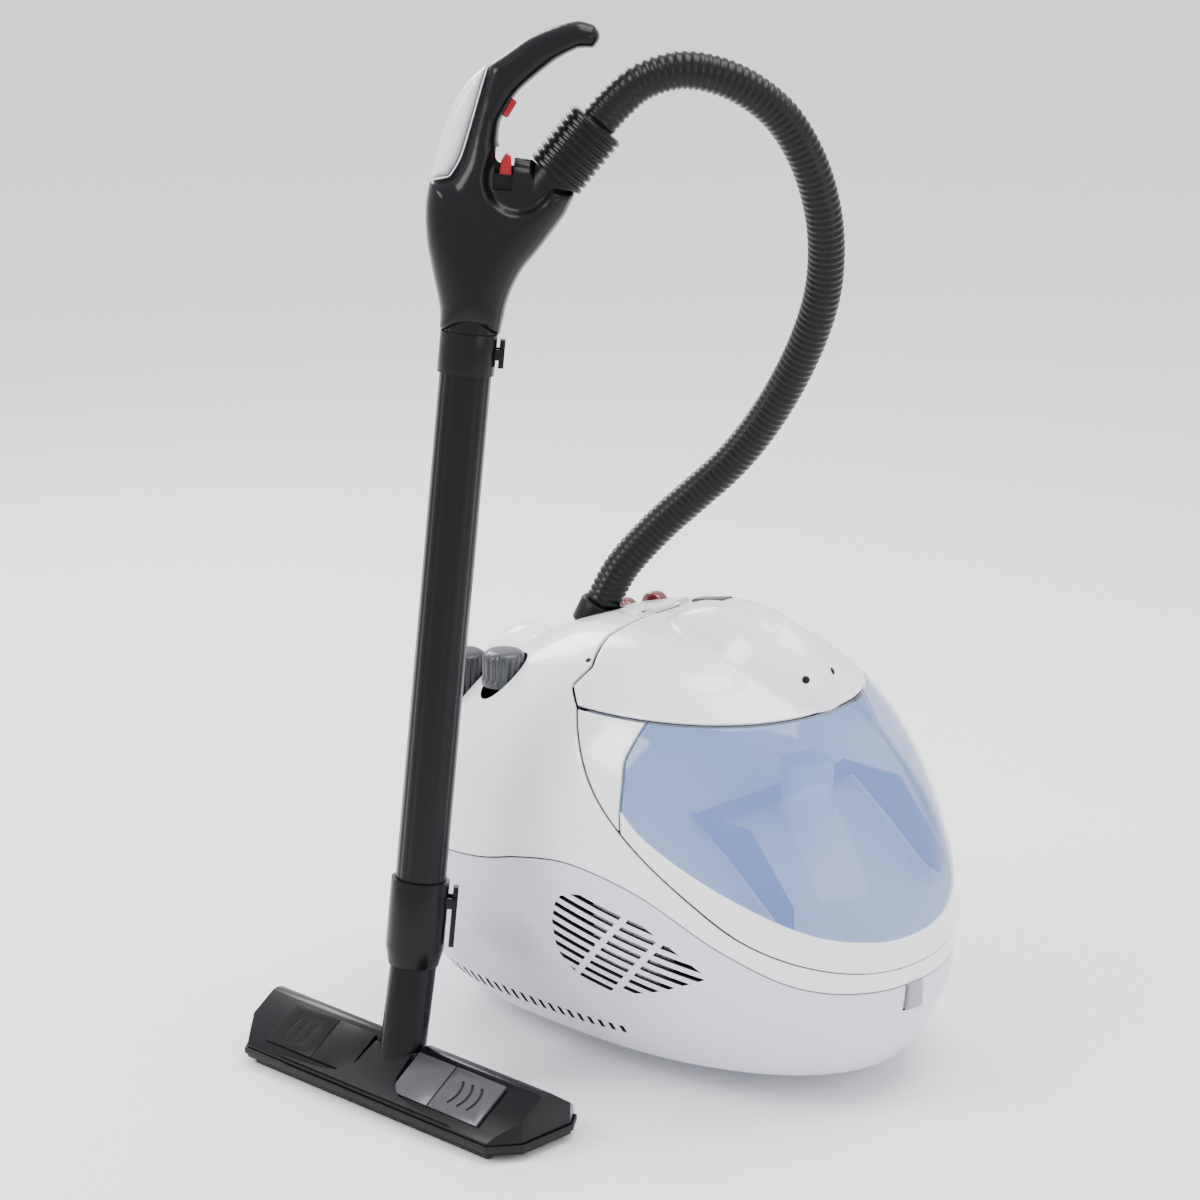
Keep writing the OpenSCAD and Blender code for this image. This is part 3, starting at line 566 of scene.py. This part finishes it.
def rearWidth(z):
    # the gap beside the lid is wider than the one beside the panels
    widths = (seamWidths["panelRear"], seamWidths["lidRear"])
    return float(np.interp(z, (lidLevel - 4, lidLevel + 4), widths))


def behindSeam(co):
    return rearEdge(co.z / mm) - rearWidth(co.z / mm) - co.x / mm


def aheadOfSeam(co):
    return co.x / mm - rearEdge(co.z / mm) - rearWidth(co.z / mm)


def underLid(co):
    return lidLevel - seamWidths["lidLow"] - co.z / mm


def overLid(co):
    return co.z / mm - lidLevel - seamWidths["lidLow"]


def flipped(field, lap=0.0):
    # the other side of a seam line, less a small lap
    return lambda co: -field(co) - lap


visorEdge = smoothLine([(104, 184), (84, 200), (76, 217), (69, 248), (65, 262), (66, 276), (68, 295)], 5)
visorHeights = [p[1] for p in visorEdge]
visorReach = [p[0] for p in visorEdge]


def visorRear(z):
    return float(np.interp(z, visorHeights, visorReach))


def inVisor(co):
    return co.x / mm - visorRear(co.z / mm) - seamWidths["visorRear"]


def inPanel(co):
    return visorRear(co.z / mm) - seamWidths["visorRear"] - co.x / mm


rimReach = {"from": 90, "to": 225, "side": 15, "nose": 46}


def rimWidth(x):
    # the white rim under the visor grows towards the nose
    return float(np.interp(x, (rimReach["from"], rimReach["to"]), (rimReach["side"], rimReach["nose"])))


def aboveRim(co):
    return aheadOfSeam(co) - rimWidth(co.x / mm)


def inRim(co):
    return rimWidth(co.x / mm) + 0.001 - aheadOfSeam(co)


def moveOn(bm):
    # carries a shape from the body's own frame to the shared one
    bmesh.ops.transform(bm, matrix=bodyMatrix, verts=bm.verts)
    return bm


def shell(name, fields, body, material, replaced, wall=None, inside=None):
    bm = bodySkin()
    for field in fields:
        cutAlong(bm, field)
    moveOn(bm)
    piece = finish(name, bm, body, material, replaced, 40, inside)
    thickened(piece, wall or bodyForm["wall"], 1 if inside else 0)
    bevelled(piece, 0.5, 2, 55)
    return bake(piece, 40)


def lip(name, fields, inset, body):
    # a dark strip set just inside a seam: painted shade in the seam gap
    bm = bodySkin(inset)
    for field in fields:
        cutAlong(bm, field)
    moveOn(bm)
    return finish(name, bm, body, paintedSeamShade, (), 40)


def floorCut(bm):
    level = bodyForm["ground"] * mm
    bmesh.ops.bisect_plane(bm, geom=bm.verts[:] + bm.edges[:] + bm.faces[:], dist=1e-6,
                           plane_co=(0, 0, level), plane_no=(0, 0, -1), clear_outer=True)
    rim = [e for e in bm.edges if e.is_boundary and abs(e.verts[0].co.z - level) < 1e-5
           and abs(e.verts[1].co.z - level) < 1e-5]
    bmesh.ops.contextual_create(bm, geom=rim)
    return bm


grillePlan = {
    "middle": (85, 126), "pitch": 8, "width": 3.6, "turn": 14, "slotsEachSide": 6,
    "ribs": (64, 104), "ribLevel": 122, "ribHalf": 2.5, "ribTurn": 40,
}
footPlan = {"slots": 21, "pitch": 10.3, "from": -140, "level": 45, "rise": 0.3, "tall": 13, "width": 4.2}
latchNotch = {"back": 12, "half": 9.5, "level": 75, "deep": 30, "tall": 40}
grilleLow = [(22, 133), (28, 108), (56, 89), (100, 92), (150, 113)]
grilleHigh = [(150, 114), (105, 146), (64, 161), (30, 156), (22, 135)]


def prism(outline, y0, y1):
    # an outline in side view, pushed through from y0 to y1
    bm = bmesh.new()
    ring = [bm.verts.new((p[0] * mm, y0 * mm, p[1] * mm)) for p in outline]
    face = bm.faces.new(ring)
    made = bmesh.ops.extrude_face_region(bm, geom=[face])["geom"]
    bmesh.ops.translate(bm, vec=(0, (y1 - y0) * mm, 0),
                        verts=[g for g in made if isinstance(g, bmesh.types.BMVert)])
    bmesh.ops.recalc_face_normals(bm, faces=bm.faces)
    return bm


def grilleSlots():
    # slanted slots kept inside the leaf outline and broken by two ribs
    leaf = smoothLine(grilleLow, 3) + smoothLine(grilleHigh, 3)
    slots = bmesh.new()
    x, z = grillePlan["middle"]
    half = grillePlan["width"] / 2 * mm
    for i in range(-grillePlan["slotsEachSide"], grillePlan["slotsEachSide"] + 1):
        turn = Matrix.Translation((x * mm, 0, (z + grillePlan["pitch"] * i) * mm))
        turn = turn @ Matrix.Rotation(math.radians(grillePlan["turn"]), 4, "Y")
        addBox(slots, (-0.095, -0.25, -half), (0.095, 0.25, half), turn)
    slotPiece = loose("slots", slots)
    leafPiece = loose("leaf", prism(leaf, -240, 240))
    mod = slotPiece.modifiers.new("leaf", "BOOLEAN")
    mod.operation = "INTERSECT"
    mod.object = leafPiece
    bake(slotPiece)
    bpy.data.objects.remove(leafPiece)
    ribs = bmesh.new()
    wide = grillePlan["ribHalf"] * mm
    for x in grillePlan["ribs"]:
        turn = Matrix.Translation((x * mm, 0, grillePlan["ribLevel"] * mm))
        turn = turn @ Matrix.Rotation(math.radians(grillePlan["ribTurn"]), 4, "Y")
        addBox(ribs, (-wide, -0.26, -0.06), (wide, 0.26, 0.06), turn)
    cutFrom(slotPiece, loose("ribs", ribs))
    return slotPiece


def basePan():
    bm = bodySkin()
    floorCut(bm)
    cutAlong(bm, inBase)
    moveOn(bm)
    piece = finish("baseMoulding", bm, "machine", finishes["base_lavender"],
                   ["base_pan"], 40, paintedShadeInside)
    thickened(piece, bodyForm["wall"], 1)
    bevelled(piece, 0.7, 2, 55)
    bake(piece, 40)
    slots = grilleSlots()
    slots.data.transform(bodyMatrix)
    # the walls of the grille and foot slots get the painted shade finish
    cutFrom(piece, slots, paintedShadeInside)
    foot = bmesh.new()
    for i in range(footPlan["slots"]):
        tall = footPlan["tall"] - footPlan["rise"] * i
        middle = footPlan["level"] + footPlan["rise"] * i
        x = footPlan["from"] + footPlan["pitch"] * i
        addBox(foot, (x * mm, -0.25, (middle - tall / 2) * mm),
               ((x + footPlan["width"]) * mm, 0.25, (middle + tall / 2) * mm))
    notch = Vector((bodyForm["nose"] - latchNotch["back"], -latchNotch["half"], latchNotch["level"])) * mm
    addBox(foot, notch, notch + Vector((latchNotch["deep"], 2 * latchNotch["half"], latchNotch["tall"])) * mm)
    footCut = loose("footSlots", foot)
    footCut.data.transform(bodyMatrix)
    cutFrom(piece, footCut, paintedShadeInside)
    soften(piece, 40)
    return piece


deckPlan = {
    "switches": [(-96, 36, 308), (-64, 36, 320)], "switchSize": (11.6, 7.6),
    "knob": (-90, -106, 282, 17.5, 27),     # x, y and z of its foot, radius, height
    "cap": (-149, -92, 250, 18.5, 43), "socketRadius": 17,
}


def addTube(bm, place, radius, low, high, sides=64):
    made = bmesh.ops.create_cone(bm, cap_ends=True, segments=sides, radius1=radius * mm,
                                 radius2=radius * mm, depth=(high - low) * mm)["verts"]
    bmesh.ops.translate(bm, vec=(place[0] * mm, place[1] * mm, (low + high) / 2 * mm), verts=made)
    return made


def deckHoles():
    bm = bmesh.new()
    for x, y, z in deckPlan["switches"]:
        made = addTube(bm, (0, 0), 1, z - 25, z + 40)
        size = deckPlan["switchSize"]
        bmesh.ops.scale(bm, vec=(size[0], size[1], 1), verts=made)
        bmesh.ops.translate(bm, vec=(x * mm, y * mm, 0), verts=made)
    for key in ("knob", "cap"):
        x, y, z, radius = deckPlan[key][:4]
        addTube(bm, (x, y), radius + 0.8, z - 14, z + 70)
    return moveOn(bm)


basePan()
casing = shell("upperCasing", [overBase, behindSeam], "machine", finishes["casing_white"],
               ["rear_casing"], inside=paintedShadeInside)
# the walls of the deck holes and the socket hole get the painted shade finish
cutFrom(casing, loose("deckHoles", deckHoles()), paintedShadeInside)
socketHole = bmesh.new()
addTube(socketHole, (0, 0), deckPlan["socketRadius"] + 0.2, -30, 30)
bmesh.ops.transform(socketHole, matrix=socketMatrix, verts=socketHole.verts)
cutFrom(casing, loose("socketHole", socketHole), paintedShadeInside)
soften(casing, 40)
# dark strips behind the seams: painted shade in the gaps
lip("lidSeam", [flipped(behindSeam, 0.15), flipped(aheadOfSeam, 0.15), lambda co: co.z / mm - lidLevel],
    2.0, "machine")
lip("panelSeam", [flipped(behindSeam, 0.15), flipped(aheadOfSeam, 0.15),
                  lambda co: lidLevel - co.z / mm, overBase], 2.0, "machine")
lip("lidLowSeam", [flipped(underLid, 0.1), flipped(overLid, 0.1), aheadOfSeam], 2.2, "water_bucket")
lip("visorSeam", [flipped(inVisor, 0.1), flipped(inPanel, 0.1), underLid, aheadOfSeam], 1.8,
    "water_bucket")
lip("baseSeam", [flipped(overBase, 0.1), flipped(inBase, 0.1), behindSeam], 1.6, "machine")
shell("sidePanels", [aheadOfSeam, underLid, inPanel], "water_bucket", finishes["casing_white"],
      ["visor_side_panels"])
shell("visorPane", [aboveRim, underLid, inVisor], "water_bucket", finishes["visor_blue"],
      ["visor"], wall=2.4)
shell("visorRim", [aheadOfSeam, inRim, underLid, inVisor], "water_bucket", finishes["casing_white"],
      [])
print("body shells made")

# ---- lid ----
lidPlan = {"spineAt": (58, 0, 290), "spineHalf": (92, 47, 66), "cutLevel": 276,
           "voxel": 2.2, "smoothing": 5}


def lidPiece():
    bm = bodySkin()
    plane = (0, 0, lidPlan["cutLevel"] * mm)
    bmesh.ops.bisect_plane(bm, geom=bm.verts[:] + bm.edges[:] + bm.faces[:], dist=1e-6,
                           plane_co=plane, plane_no=(0, 0, -1), clear_outer=True)
    rim = [e for e in bm.edges if e.is_boundary]
    bmesh.ops.contextual_create(bm, geom=rim)
    spine = bmesh.ops.create_uvsphere(bm, u_segments=96, v_segments=64, radius=1)["verts"]
    bmesh.ops.scale(bm, vec=Vector(lidPlan["spineHalf"]) * mm, verts=spine)
    bmesh.ops.translate(bm, vec=Vector(lidPlan["spineAt"]) * mm, verts=spine)
    bmesh.ops.bisect_plane(bm, geom=bm.verts[:] + bm.edges[:] + bm.faces[:], dist=1e-6,
                           plane_co=plane, plane_no=(0, 0, -1), clear_outer=True)
    rim = [e for e in bm.edges if e.is_boundary]
    if rim:
        bmesh.ops.holes_fill(bm, edges=rim)
    helper = loose("lidBlock", bm)
    mod = helper.modifiers.new("join", "REMESH")
    mod.mode = "VOXEL"
    mod.voxel_size = lidPlan["voxel"] * mm
    soft = helper.modifiers.new("soften", "SMOOTH")
    soft.factor = 0.5
    soft.iterations = lidPlan["smoothing"]
    bake(helper)
    bm = bmesh.new()
    bm.from_mesh(helper.data)
    bpy.data.objects.remove(helper)
    cutAlong(bm, overLid)
    cutAlong(bm, aheadOfSeam)
    moveOn(bm)
    piece = finish("lidMoulding", bm, "lid", finishes["casing_white"], ["lid"], 40)
    thickened(piece, bodyForm["wall"])
    bevelled(piece, 0.6, 2, 55)
    return bake(piece, 40)


lidMoulding = lidPiece()
lensPlan = {"x": 138, "y": (15, -15), "radius": 3.0, "rise": 1.6,
            "dotAt": (-12.5, 92, 314.5), "dotRadius": 2.6}


def domeOn(piece, bm, x, y, radius, rise):
    # a small dome standing on the piece, square to its face
    start = bodyPlace + Vector((x, y, 500)) * mm
    spot, way = piece.ray_cast(start, Vector((0, 0, -1)))[1:3]
    made = bmesh.ops.create_uvsphere(bm, u_segments=32, v_segments=16, radius=radius * mm)["verts"]
    bmesh.ops.scale(bm, vec=(1, 1, rise / radius), verts=made)
    turn = way.to_track_quat("Z", "Y").to_matrix().to_4x4()
    bmesh.ops.transform(bm, matrix=Matrix.Translation(spot) @ turn, verts=made)


lensBm = bmesh.new()
for y in lensPlan["y"]:
    domeOn(lidMoulding, lensBm, lensPlan["x"], y, lensPlan["radius"], lensPlan["rise"])
finish("lidLenses", lensBm, "lid", finishes[slotOf["lid_lenses"]], ["lid_lenses"])
# two dark dots where the lid's rear seam ends: painted shade in the seam gap
dotBm = bmesh.new()
for side in (-1, 1):
    made = bmesh.ops.create_uvsphere(dotBm, u_segments=24, v_segments=16,
                                     radius=lensPlan["dotRadius"] * mm)["verts"]
    x, y, z = lensPlan["dotAt"]
    bmesh.ops.translate(dotBm, vec=bodyPlace + Vector((x, side * y, z - 1)) * mm, verts=made)
finish("seamEnds", dotBm, "machine", paintedSeamShade)
print("lid made")

# ---- handle ----
backEdge = [(-24, 111), (-17, 126), (-11.5, 152), (-7.5, 173), (-3.5, 193)]
handleOutline = (
    smoothLine([(-22, 0), (-22.5, 14), (-29, 37), (-36, 62), (-39.5, 88), (-38, 107)], 4)
    + smoothLine(backEdge, 3)
    + smoothLine([(-2, 195), (8, 203), (24, 216), (46, 227), (59, 231)], 4)
    + smoothLine([(70, 229), (75, 221), (71, 212)], 4)
    + smoothLine([(60, 211), (46, 202), (31, 188), (18, 173), (9, 154)], 4)
    + smoothLine([(8.5, 140), (14, 130.5), (24, 130)], 4)
    + [np.array((35.1, 129)), np.array((67.5, 107.3))]
    + smoothLine([(62, 92), (46, 66), (34, 48), (26.5, 28), (24, 12), (22.5, 0)], 4)
)
insertOutline = (
    smoothLine([(-37.5, 108.5), (-34, 136), (-25, 166), (-15, 183), (-4.2, 194)], 5)
    + [p + np.array((-0.6, 0.4)) for p in reversed(smoothLine(backEdge, 3))]
)
handlePlan = {
    "heights": (0, 40, 85, 118, 142, 170, 206, 226, 240),
    "depth": (22.5, 24, 24.5, 22, 17, 14.5, 14.5, 11, 8),
    "round": (22.5, 23, 22, 17, 12, 11, 11, 10, 8),
    "cell": 1.5, "voxel": 1.3, "scoopAt": (26, 116), "scoopReach": 30, "scoopDepth": 8,
    "pocket": ((6.5, -8.5, 97), (22.5, 8.5, 117)), "notch": ((7.5, -30, 106), (21.5, 9.5, 136)),
    "buttonAt": (13.2, 0, 164.8), "buttonTurn": 26, "buttonHalf": (6, 5.5, 7.75),
}


def edgeDistance(outline, x, z):
    # distance to a closed outline, above zero inside
    a = np.array(outline)
    b = np.roll(a, -1, axis=0)
    p = np.array((x, z))
    ab = b - a
    t = np.clip(((p - a) * ab).sum(1) / np.maximum((ab ** 2).sum(1), 1e-9), 0, 1)
    near = np.min(np.hypot(*(p - a - ab * t[:, None]).T))
    crosses = ((a[:, 1] > z) != (b[:, 1] > z))
    with np.errstate(divide="ignore", invalid="ignore"):
        at = a[:, 0] + (z - a[:, 1]) * ab[:, 0] / ab[:, 1]
    inside = np.count_nonzero(crosses & (x < at)) % 2
    return near if inside else -near


def pillow(outline, depthAt, roundAt, cell, dent=None):
    # a flat outline swelled to both sides, with rounded edges
    xs = [p[0] for p in outline]
    zs = [p[1] for p in outline]
    bm = bmesh.new()
    wide = max(xs) - min(xs) + 4 * cell
    tall = max(zs) - min(zs) + 4 * cell
    bmesh.ops.create_grid(bm, x_segments=round(wide / cell), y_segments=round(tall / cell), size=0.5)
    bmesh.ops.scale(bm, vec=(wide, tall, 1), verts=bm.verts)
    bmesh.ops.rotate(bm, matrix=Matrix.Rotation(math.pi / 2, 3, "X"), verts=bm.verts)
    middle = ((max(xs) + min(xs)) / 2, 0, (max(zs) + min(zs)) / 2)
    bmesh.ops.translate(bm, vec=middle, verts=bm.verts)
    cutAlong(bm, lambda co: edgeDistance(outline, co.x, co.z))
    for v in bm.verts:
        inner = max(0.0, edgeDistance(outline, v.co.x, v.co.z))
        bend = roundAt(v.co.z)
        rise = math.sqrt(max(0.0, 1 - (1 - min(inner / bend, 1)) ** 2))
        v.co.y = -depthAt(v.co.z) * rise - (0.02 if v.is_boundary else 0)
        if dent and not v.is_boundary:
            v.co.y = min(-1.0, v.co.y + dent(v.co))
    for v in bm.verts:
        if v.is_boundary:
            v.co.y = 0
    bmesh.ops.mirror(bm, geom=bm.verts[:] + bm.edges[:] + bm.faces[:], axis="Y", merge_dist=0.01)
    bmesh.ops.remove_doubles(bm, verts=bm.verts, dist=0.01)
    bmesh.ops.recalc_face_normals(bm, faces=bm.faces)
    bmesh.ops.scale(bm, vec=(mm, mm, mm), verts=bm.verts)
    return bm


def scoop(co):
    reach = math.hypot((co.x - handlePlan["scoopAt"][0]) * 1.05, co.z - handlePlan["scoopAt"][1])
    t = max(0.0, 1 - reach / handlePlan["scoopReach"])
    return handlePlan["scoopDepth"] * min(1.0, t * 3.2) ** 2 * (3 - 2 * min(1.0, t * 3.2))


def tableAt(key):
    return lambda z: float(np.interp(z, handlePlan["heights"], handlePlan[key]))


def remeshed(name, bm, voxel, rounds):
    helper = loose(name, bm)
    mod = helper.modifiers.new("join", "REMESH")
    mod.mode = "VOXEL"
    mod.voxel_size = voxel * mm
    soft = helper.modifiers.new("soften", "SMOOTH")
    soft.factor = 0.5
    soft.iterations = rounds
    return bake(helper)


def handleShell():
    bm = pillow(handleOutline, tableAt("depth"), tableAt("round"), handlePlan["cell"], scoop)
    block = remeshed("handleBlock", bm, handlePlan["voxel"], 6)
    notch = bmesh.new()
    for key in ("pocket", "notch"):
        low, high = handlePlan[key]
        addBox(notch, Vector(low) * mm, Vector(high) * mm)
    cutFrom(block, loose("notch", notch))
    button = bmesh.new()
    turn = Matrix.Translation(Vector(handlePlan["buttonAt"]) * mm)
    turn = turn @ Matrix.Rotation(math.radians(handlePlan["buttonTurn"]), 4, "Y")
    half = Vector(handlePlan["buttonHalf"]) * mm
    addBox(button, -half, half, turn)
    cutFrom(block, loose("buttonPocket", button))
    bm = bmesh.new()
    bm.from_mesh(block.data)
    bpy.data.objects.remove(block)
    bmesh.ops.transform(bm, matrix=handleMatrix, verts=bm.verts)
    return finish("handleGrip", bm, "machine", finishes["black_gloss"],
                  ["handle_shell_left", "handle_shell_right"], 38)


handleShell()
insertBm = pillow(insertOutline, lambda z: 12.5, lambda z: 8.0, 1.2)
insertBlock = remeshed("insertBlock", insertBm, 1.1, 4)
insertBm = bmesh.new()
insertBm.from_mesh(insertBlock.data)
bpy.data.objects.remove(insertBlock)
bmesh.ops.transform(insertBm, matrix=handleMatrix, verts=insertBm.verts)
finish("backInsert", insertBm, "machine", finishes["insert_pale"], ["back_insert"], 40)
print("handle made")

# ---- tube ----
tubePlan = {"flutes": 16, "depth": 0.5, "radius": 19, "from": 12.5, "to": 489.5}


def flutedTube():
    bm = bmesh.new()
    count = tubePlan["flutes"] * 6
    ring = bmesh.ops.create_circle(bm, cap_ends=True, segments=count, radius=1)["verts"]
    for v in ring:
        a = math.atan2(v.co.y, v.co.x)
        wave = abs(math.cos(a * tubePlan["flutes"] / 2))
        v.co *= (tubePlan["radius"] - tubePlan["depth"] * (1 - wave ** 0.6)) * mm
    made = bmesh.ops.extrude_face_region(bm, geom=bm.faces[:])["geom"]
    top = [g for g in made if isinstance(g, bmesh.types.BMVert)]
    bmesh.ops.translate(bm, vec=(0, 0, (tubePlan["to"] - tubePlan["from"]) * mm), verts=top)
    bmesh.ops.translate(bm, vec=(0, 0, tubePlan["from"] * mm), verts=bm.verts)
    bmesh.ops.recalc_face_normals(bm, faces=bm.faces)
    bmesh.ops.transform(bm, matrix=wandMatrix, verts=bm.verts)
    return finish("flutedTube", bm, "machine", finishes["black_gloss"],
                  ["extension_tube"], 40)


flutedTube()

# ---- turned pieces ----
def lathe(name, profile, matrix, node, width=0.8, sides=72, ribs=0, ribDepth=0.0, ribFrom=0.0, ribTo=0.0):
    # spins a profile of (radius, height) round the axis; ribs press grooves along it
    bm = bmesh.new()
    line = [bm.verts.new((r * mm, 0, z * mm)) for r, z in profile]
    edges = [bm.edges.new(pair) for pair in zip(line, line[1:])]
    bmesh.ops.spin(bm, geom=line + edges, cent=(0, 0, 0), axis=(0, 0, 1), angle=math.tau, steps=sides,
                   use_merge=True)
    bmesh.ops.remove_doubles(bm, verts=bm.verts, dist=0.01 * mm)
    if ribs:
        for v in bm.verts:
            if ribFrom * mm < v.co.z < ribTo * mm and math.hypot(v.co.x, v.co.y) > ribDepth * 6 * mm:
                wave = 0.5 - 0.5 * math.cos(math.atan2(v.co.y, v.co.x) * ribs)
                v.co.xy *= 1 - ribDepth * mm * wave ** 2 / math.hypot(v.co.x, v.co.y)
    bmesh.ops.recalc_face_normals(bm, faces=bm.faces)
    bmesh.ops.transform(bm, matrix=matrix, verts=bm.verts)
    piece = finish(name, bm, bodyOf[node], finishes[slotOf[node]], [node])
    if width:
        bevelled(piece, width, 3, 35)
    return bake(piece, 40)


def ringed(inner, outer, low, high, count, bore, share=0.6):
    # outline of a sleeve with raised rings
    pitch = (high - low) / count
    line = [(bore, low), (inner, low)]
    for i in range(count):
        z = low + pitch * (i + (1 - share) / 2)
        line += [(inner, z), (outer, z), (outer, z + pitch * share), (inner, z + pitch * share)]
    return line + [(inner, high), (bore, high), (bore, low)]


collarPlan = {"inner": 20.3, "outer": 22.2, "low": 0.4, "high": 48.9, "rings": 9, "bore": 14.6}
lathe("ribbedCollar", ringed(*collarPlan.values()), armMatrix, "hose_collar", width=0.7)
lathe("hoseFoot", [(11.5, -20), (16.9, -20), (16.9, -3), (15.6, -0.4), (11.5, -0.4), (11.5, -20)],
      socketMatrix, "hose_socket", width=0.8)
for node, (x, y, z) in zip(("vacuum_switch", "steam_switch"), deckPlan["switches"]):
    lying = bodyMatrix @ Matrix.Translation((x * mm, y * mm, z * mm)) @ Matrix.Rotation(math.pi / 2, 4, "X")
    lathe(node + "Rocker", [(0, -6.5), (11, -6.5), (11, 6.5), (0, 6.5)], lying, node, width=3.2)
for key, node, grooves in (("knob", "steam_knob", 18), ("cap", "boiler_cap", 22)):
    x, y, z, radius, tall = deckPlan[key]
    top = z + tall
    place = bodyMatrix @ Matrix.Translation((x * mm, y * mm, 0))
    profile = [(0, z + 0.2), (radius, z + 0.2), (radius, z + 4), (radius - 0.6, z + 6)]
    profile += [(radius - 0.8, z + 6 + (tall - 13) * t / 8) for t in range(1, 9)]
    profile += [(radius - 1.2, top - 5), (radius - 2.4, top - 2.4), (radius - 5, top - 0.7),
                (radius - 9, top), (0, top)]
    lathe(node + "Turned", profile, place, node, width=0, sides=grooves * 8, ribs=grooves,
          ribDepth=1.3, ribFrom=z + 5.9, ribTo=top - 4.9)


castorPlan = {"half": 4.5, "radius": 9.0, "pinRadius": 1.9, "pinHalf": 7.1}


def castorWheels():
    half, tall = castorPlan["half"], castorPlan["radius"]
    pin, reach = castorPlan["pinRadius"], castorPlan["pinHalf"]
    for node in sorted(n for n in nodes if n.startswith("castor_wheel")):
        low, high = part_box(node)
        middle = (low + high) / 2
        spin = Matrix.Translation(middle) @ Matrix.Rotation(math.pi / 2, 4, "X")
        profile = [(0, -reach), (pin, -reach), (pin, -half), (4, -half), (5, -half + 1),
                   (tall - 2, -half + 1), (tall - 1.2, -half), (tall - 0.4, -half + 1),
                   (tall, -1.5), (tall, 1.5), (tall - 0.4, half - 1), (tall - 1.2, half),
                   (tall - 2, half - 1), (5, half - 1), (4, half), (pin, half),
                   (pin, reach), (0, reach)]
        lathe(node + "Turned", profile, spin, node, width=0, sides=48)


castorWheels()
print("turned pieces made")

# ---- brush top ----
brushPlan = {
    "place": (-51, -188), "slopeFrom": (-39, 20.9), "slope": 34, "padLength": 92, "padWidth": 38,
    "padStart": 24, "padThick": 2.5, "divider": 40, "marks": (58, 68, 78), "markRadius": 15,
    "markTurn": 84, "crestThick": 4.2,
}


def slopeMatrix(x):
    # a frame lying on the front slope of the brush, x along it and y up it
    place = Matrix.Translation(((brushPlan["place"][0] + x) * mm,
                                (brushPlan["place"][1] + brushPlan["slopeFrom"][0]) * mm,
                                brushPlan["slopeFrom"][1] * mm))
    return place @ Matrix.Rotation(math.radians(brushPlan["slope"]), 4, "X")


def gripPad(node, start, side, material):
    length, width = brushPlan["padLength"] * mm, brushPlan["padWidth"] * mm
    bm = bmesh.new()
    addBox(bm, (0, 0, 0), (length, width, brushPlan["padThick"] * mm))
    piece = finish(node + "Pad", bm, bodyOf[node], material, [node])
    at = (lambda x: x) if side > 0 else (lambda x: brushPlan["padLength"] - x)
    marks = bmesh.new()
    line = at(brushPlan["divider"]) * mm
    addBox(marks, (line - 0.0006, -0.001, 0.0017), (line + 0.0006, width + 0.001, 0.004))
    for x in brushPlan["marks"]:
        centre = Vector(((at(x) - side * brushPlan["markRadius"]) * mm, width / 2, 0.0027))
        spot = Matrix.Translation(centre + Vector((side * brushPlan["markRadius"] * mm, 0, 0)))
        made = bmesh.ops.create_circle(marks, cap_ends=False, segments=8, radius=0.0013,
                                       matrix=spot @ Matrix.Rotation(math.pi / 2, 4, "X"))["verts"]
        back = Matrix.Rotation(math.radians(-brushPlan["markTurn"] / 2), 3, "Z")
        bmesh.ops.rotate(marks, cent=centre, matrix=back, verts=made)
        rim = [e for e in marks.edges if e.verts[0] in made and e.verts[1] in made]
        bmesh.ops.spin(marks, geom=made + rim, cent=centre, axis=(0, 0, 1),
                       angle=math.radians(brushPlan["markTurn"]), steps=14)
    bmesh.ops.holes_fill(marks, edges=[e for e in marks.edges if e.is_boundary])
    bmesh.ops.recalc_face_normals(marks, faces=marks.faces)
    cutFrom(piece, loose("gripMarks", marks), finishes["soft_black"])
    bevelled(piece, 0.4, 2, 40)
    bake(piece, 35)
    piece.data.transform(slopeMatrix(start))
    return piece


# both pads are the same dark grey plastic; the left pad gets the blacker matte finish as painted shade, since
# it faces away from the light
gripPad("slider_right", brushPlan["padStart"], 1, finishes["slider_grey"])
gripPad("slider_left", -brushPlan["padStart"] - brushPlan["padLength"], -1, finishes["black_matte"])


def brushCrest():
    # the flared plate that climbs to the neck
    half = smoothLine([(92, -7.5), (58, -5.5), (34, -1), (23.4, 8), (21, 20), (19.5, 33)], 4)
    outline = half + [np.array((-p[0], p[1])) for p in reversed(half)]
    bm = bmesh.new()
    ring = [bm.verts.new((p[0] * mm, p[1] * mm, -0.001)) for p in outline]
    made = bmesh.ops.extrude_face_region(bm, geom=[bm.faces.new(ring)])["geom"]
    top = [g for g in made if isinstance(g, bmesh.types.BMVert)]
    bmesh.ops.translate(bm, vec=(0, 0, brushPlan["crestThick"] * mm), verts=top)
    bmesh.ops.recalc_face_normals(bm, faces=bm.faces)
    bmesh.ops.transform(bm, matrix=slopeMatrix(0), verts=bm.verts)
    piece = finish("brushCrest", bm, bodyOf["brush_housing"], finishes["black_matte"])
    bevelled(piece, 1.0, 3, 40)
    return bake(piece, 35)


brushCrest()
print("brush top made")

# ---- pieces kept from the frame, with rounded edges ----
edgeWidths = {
    "tube_collar": 0.8, "lower_socket": 1.0, "brush_neck": 2.0, "upper_latch": 0.8, "lower_latch": 0.8,
    "brush_housing": 2.2, "brush_bumper": 0.8, "sole_plate": 0.5, "front_latch": 1.2, "cord_gland": 0.8,
    "rear_hump": 0.8, "trigger": 1.2, "steam_button": 1.6, "lid_grip": 1.5, "filter_frame": 0.6,
    "filter_float": 3.0, "neck_pin": 0.4,
}
for node, width in edgeWidths.items():
    polished(node, finishes[slotOf[node]], width, 3)
print("frame pieces rounded")
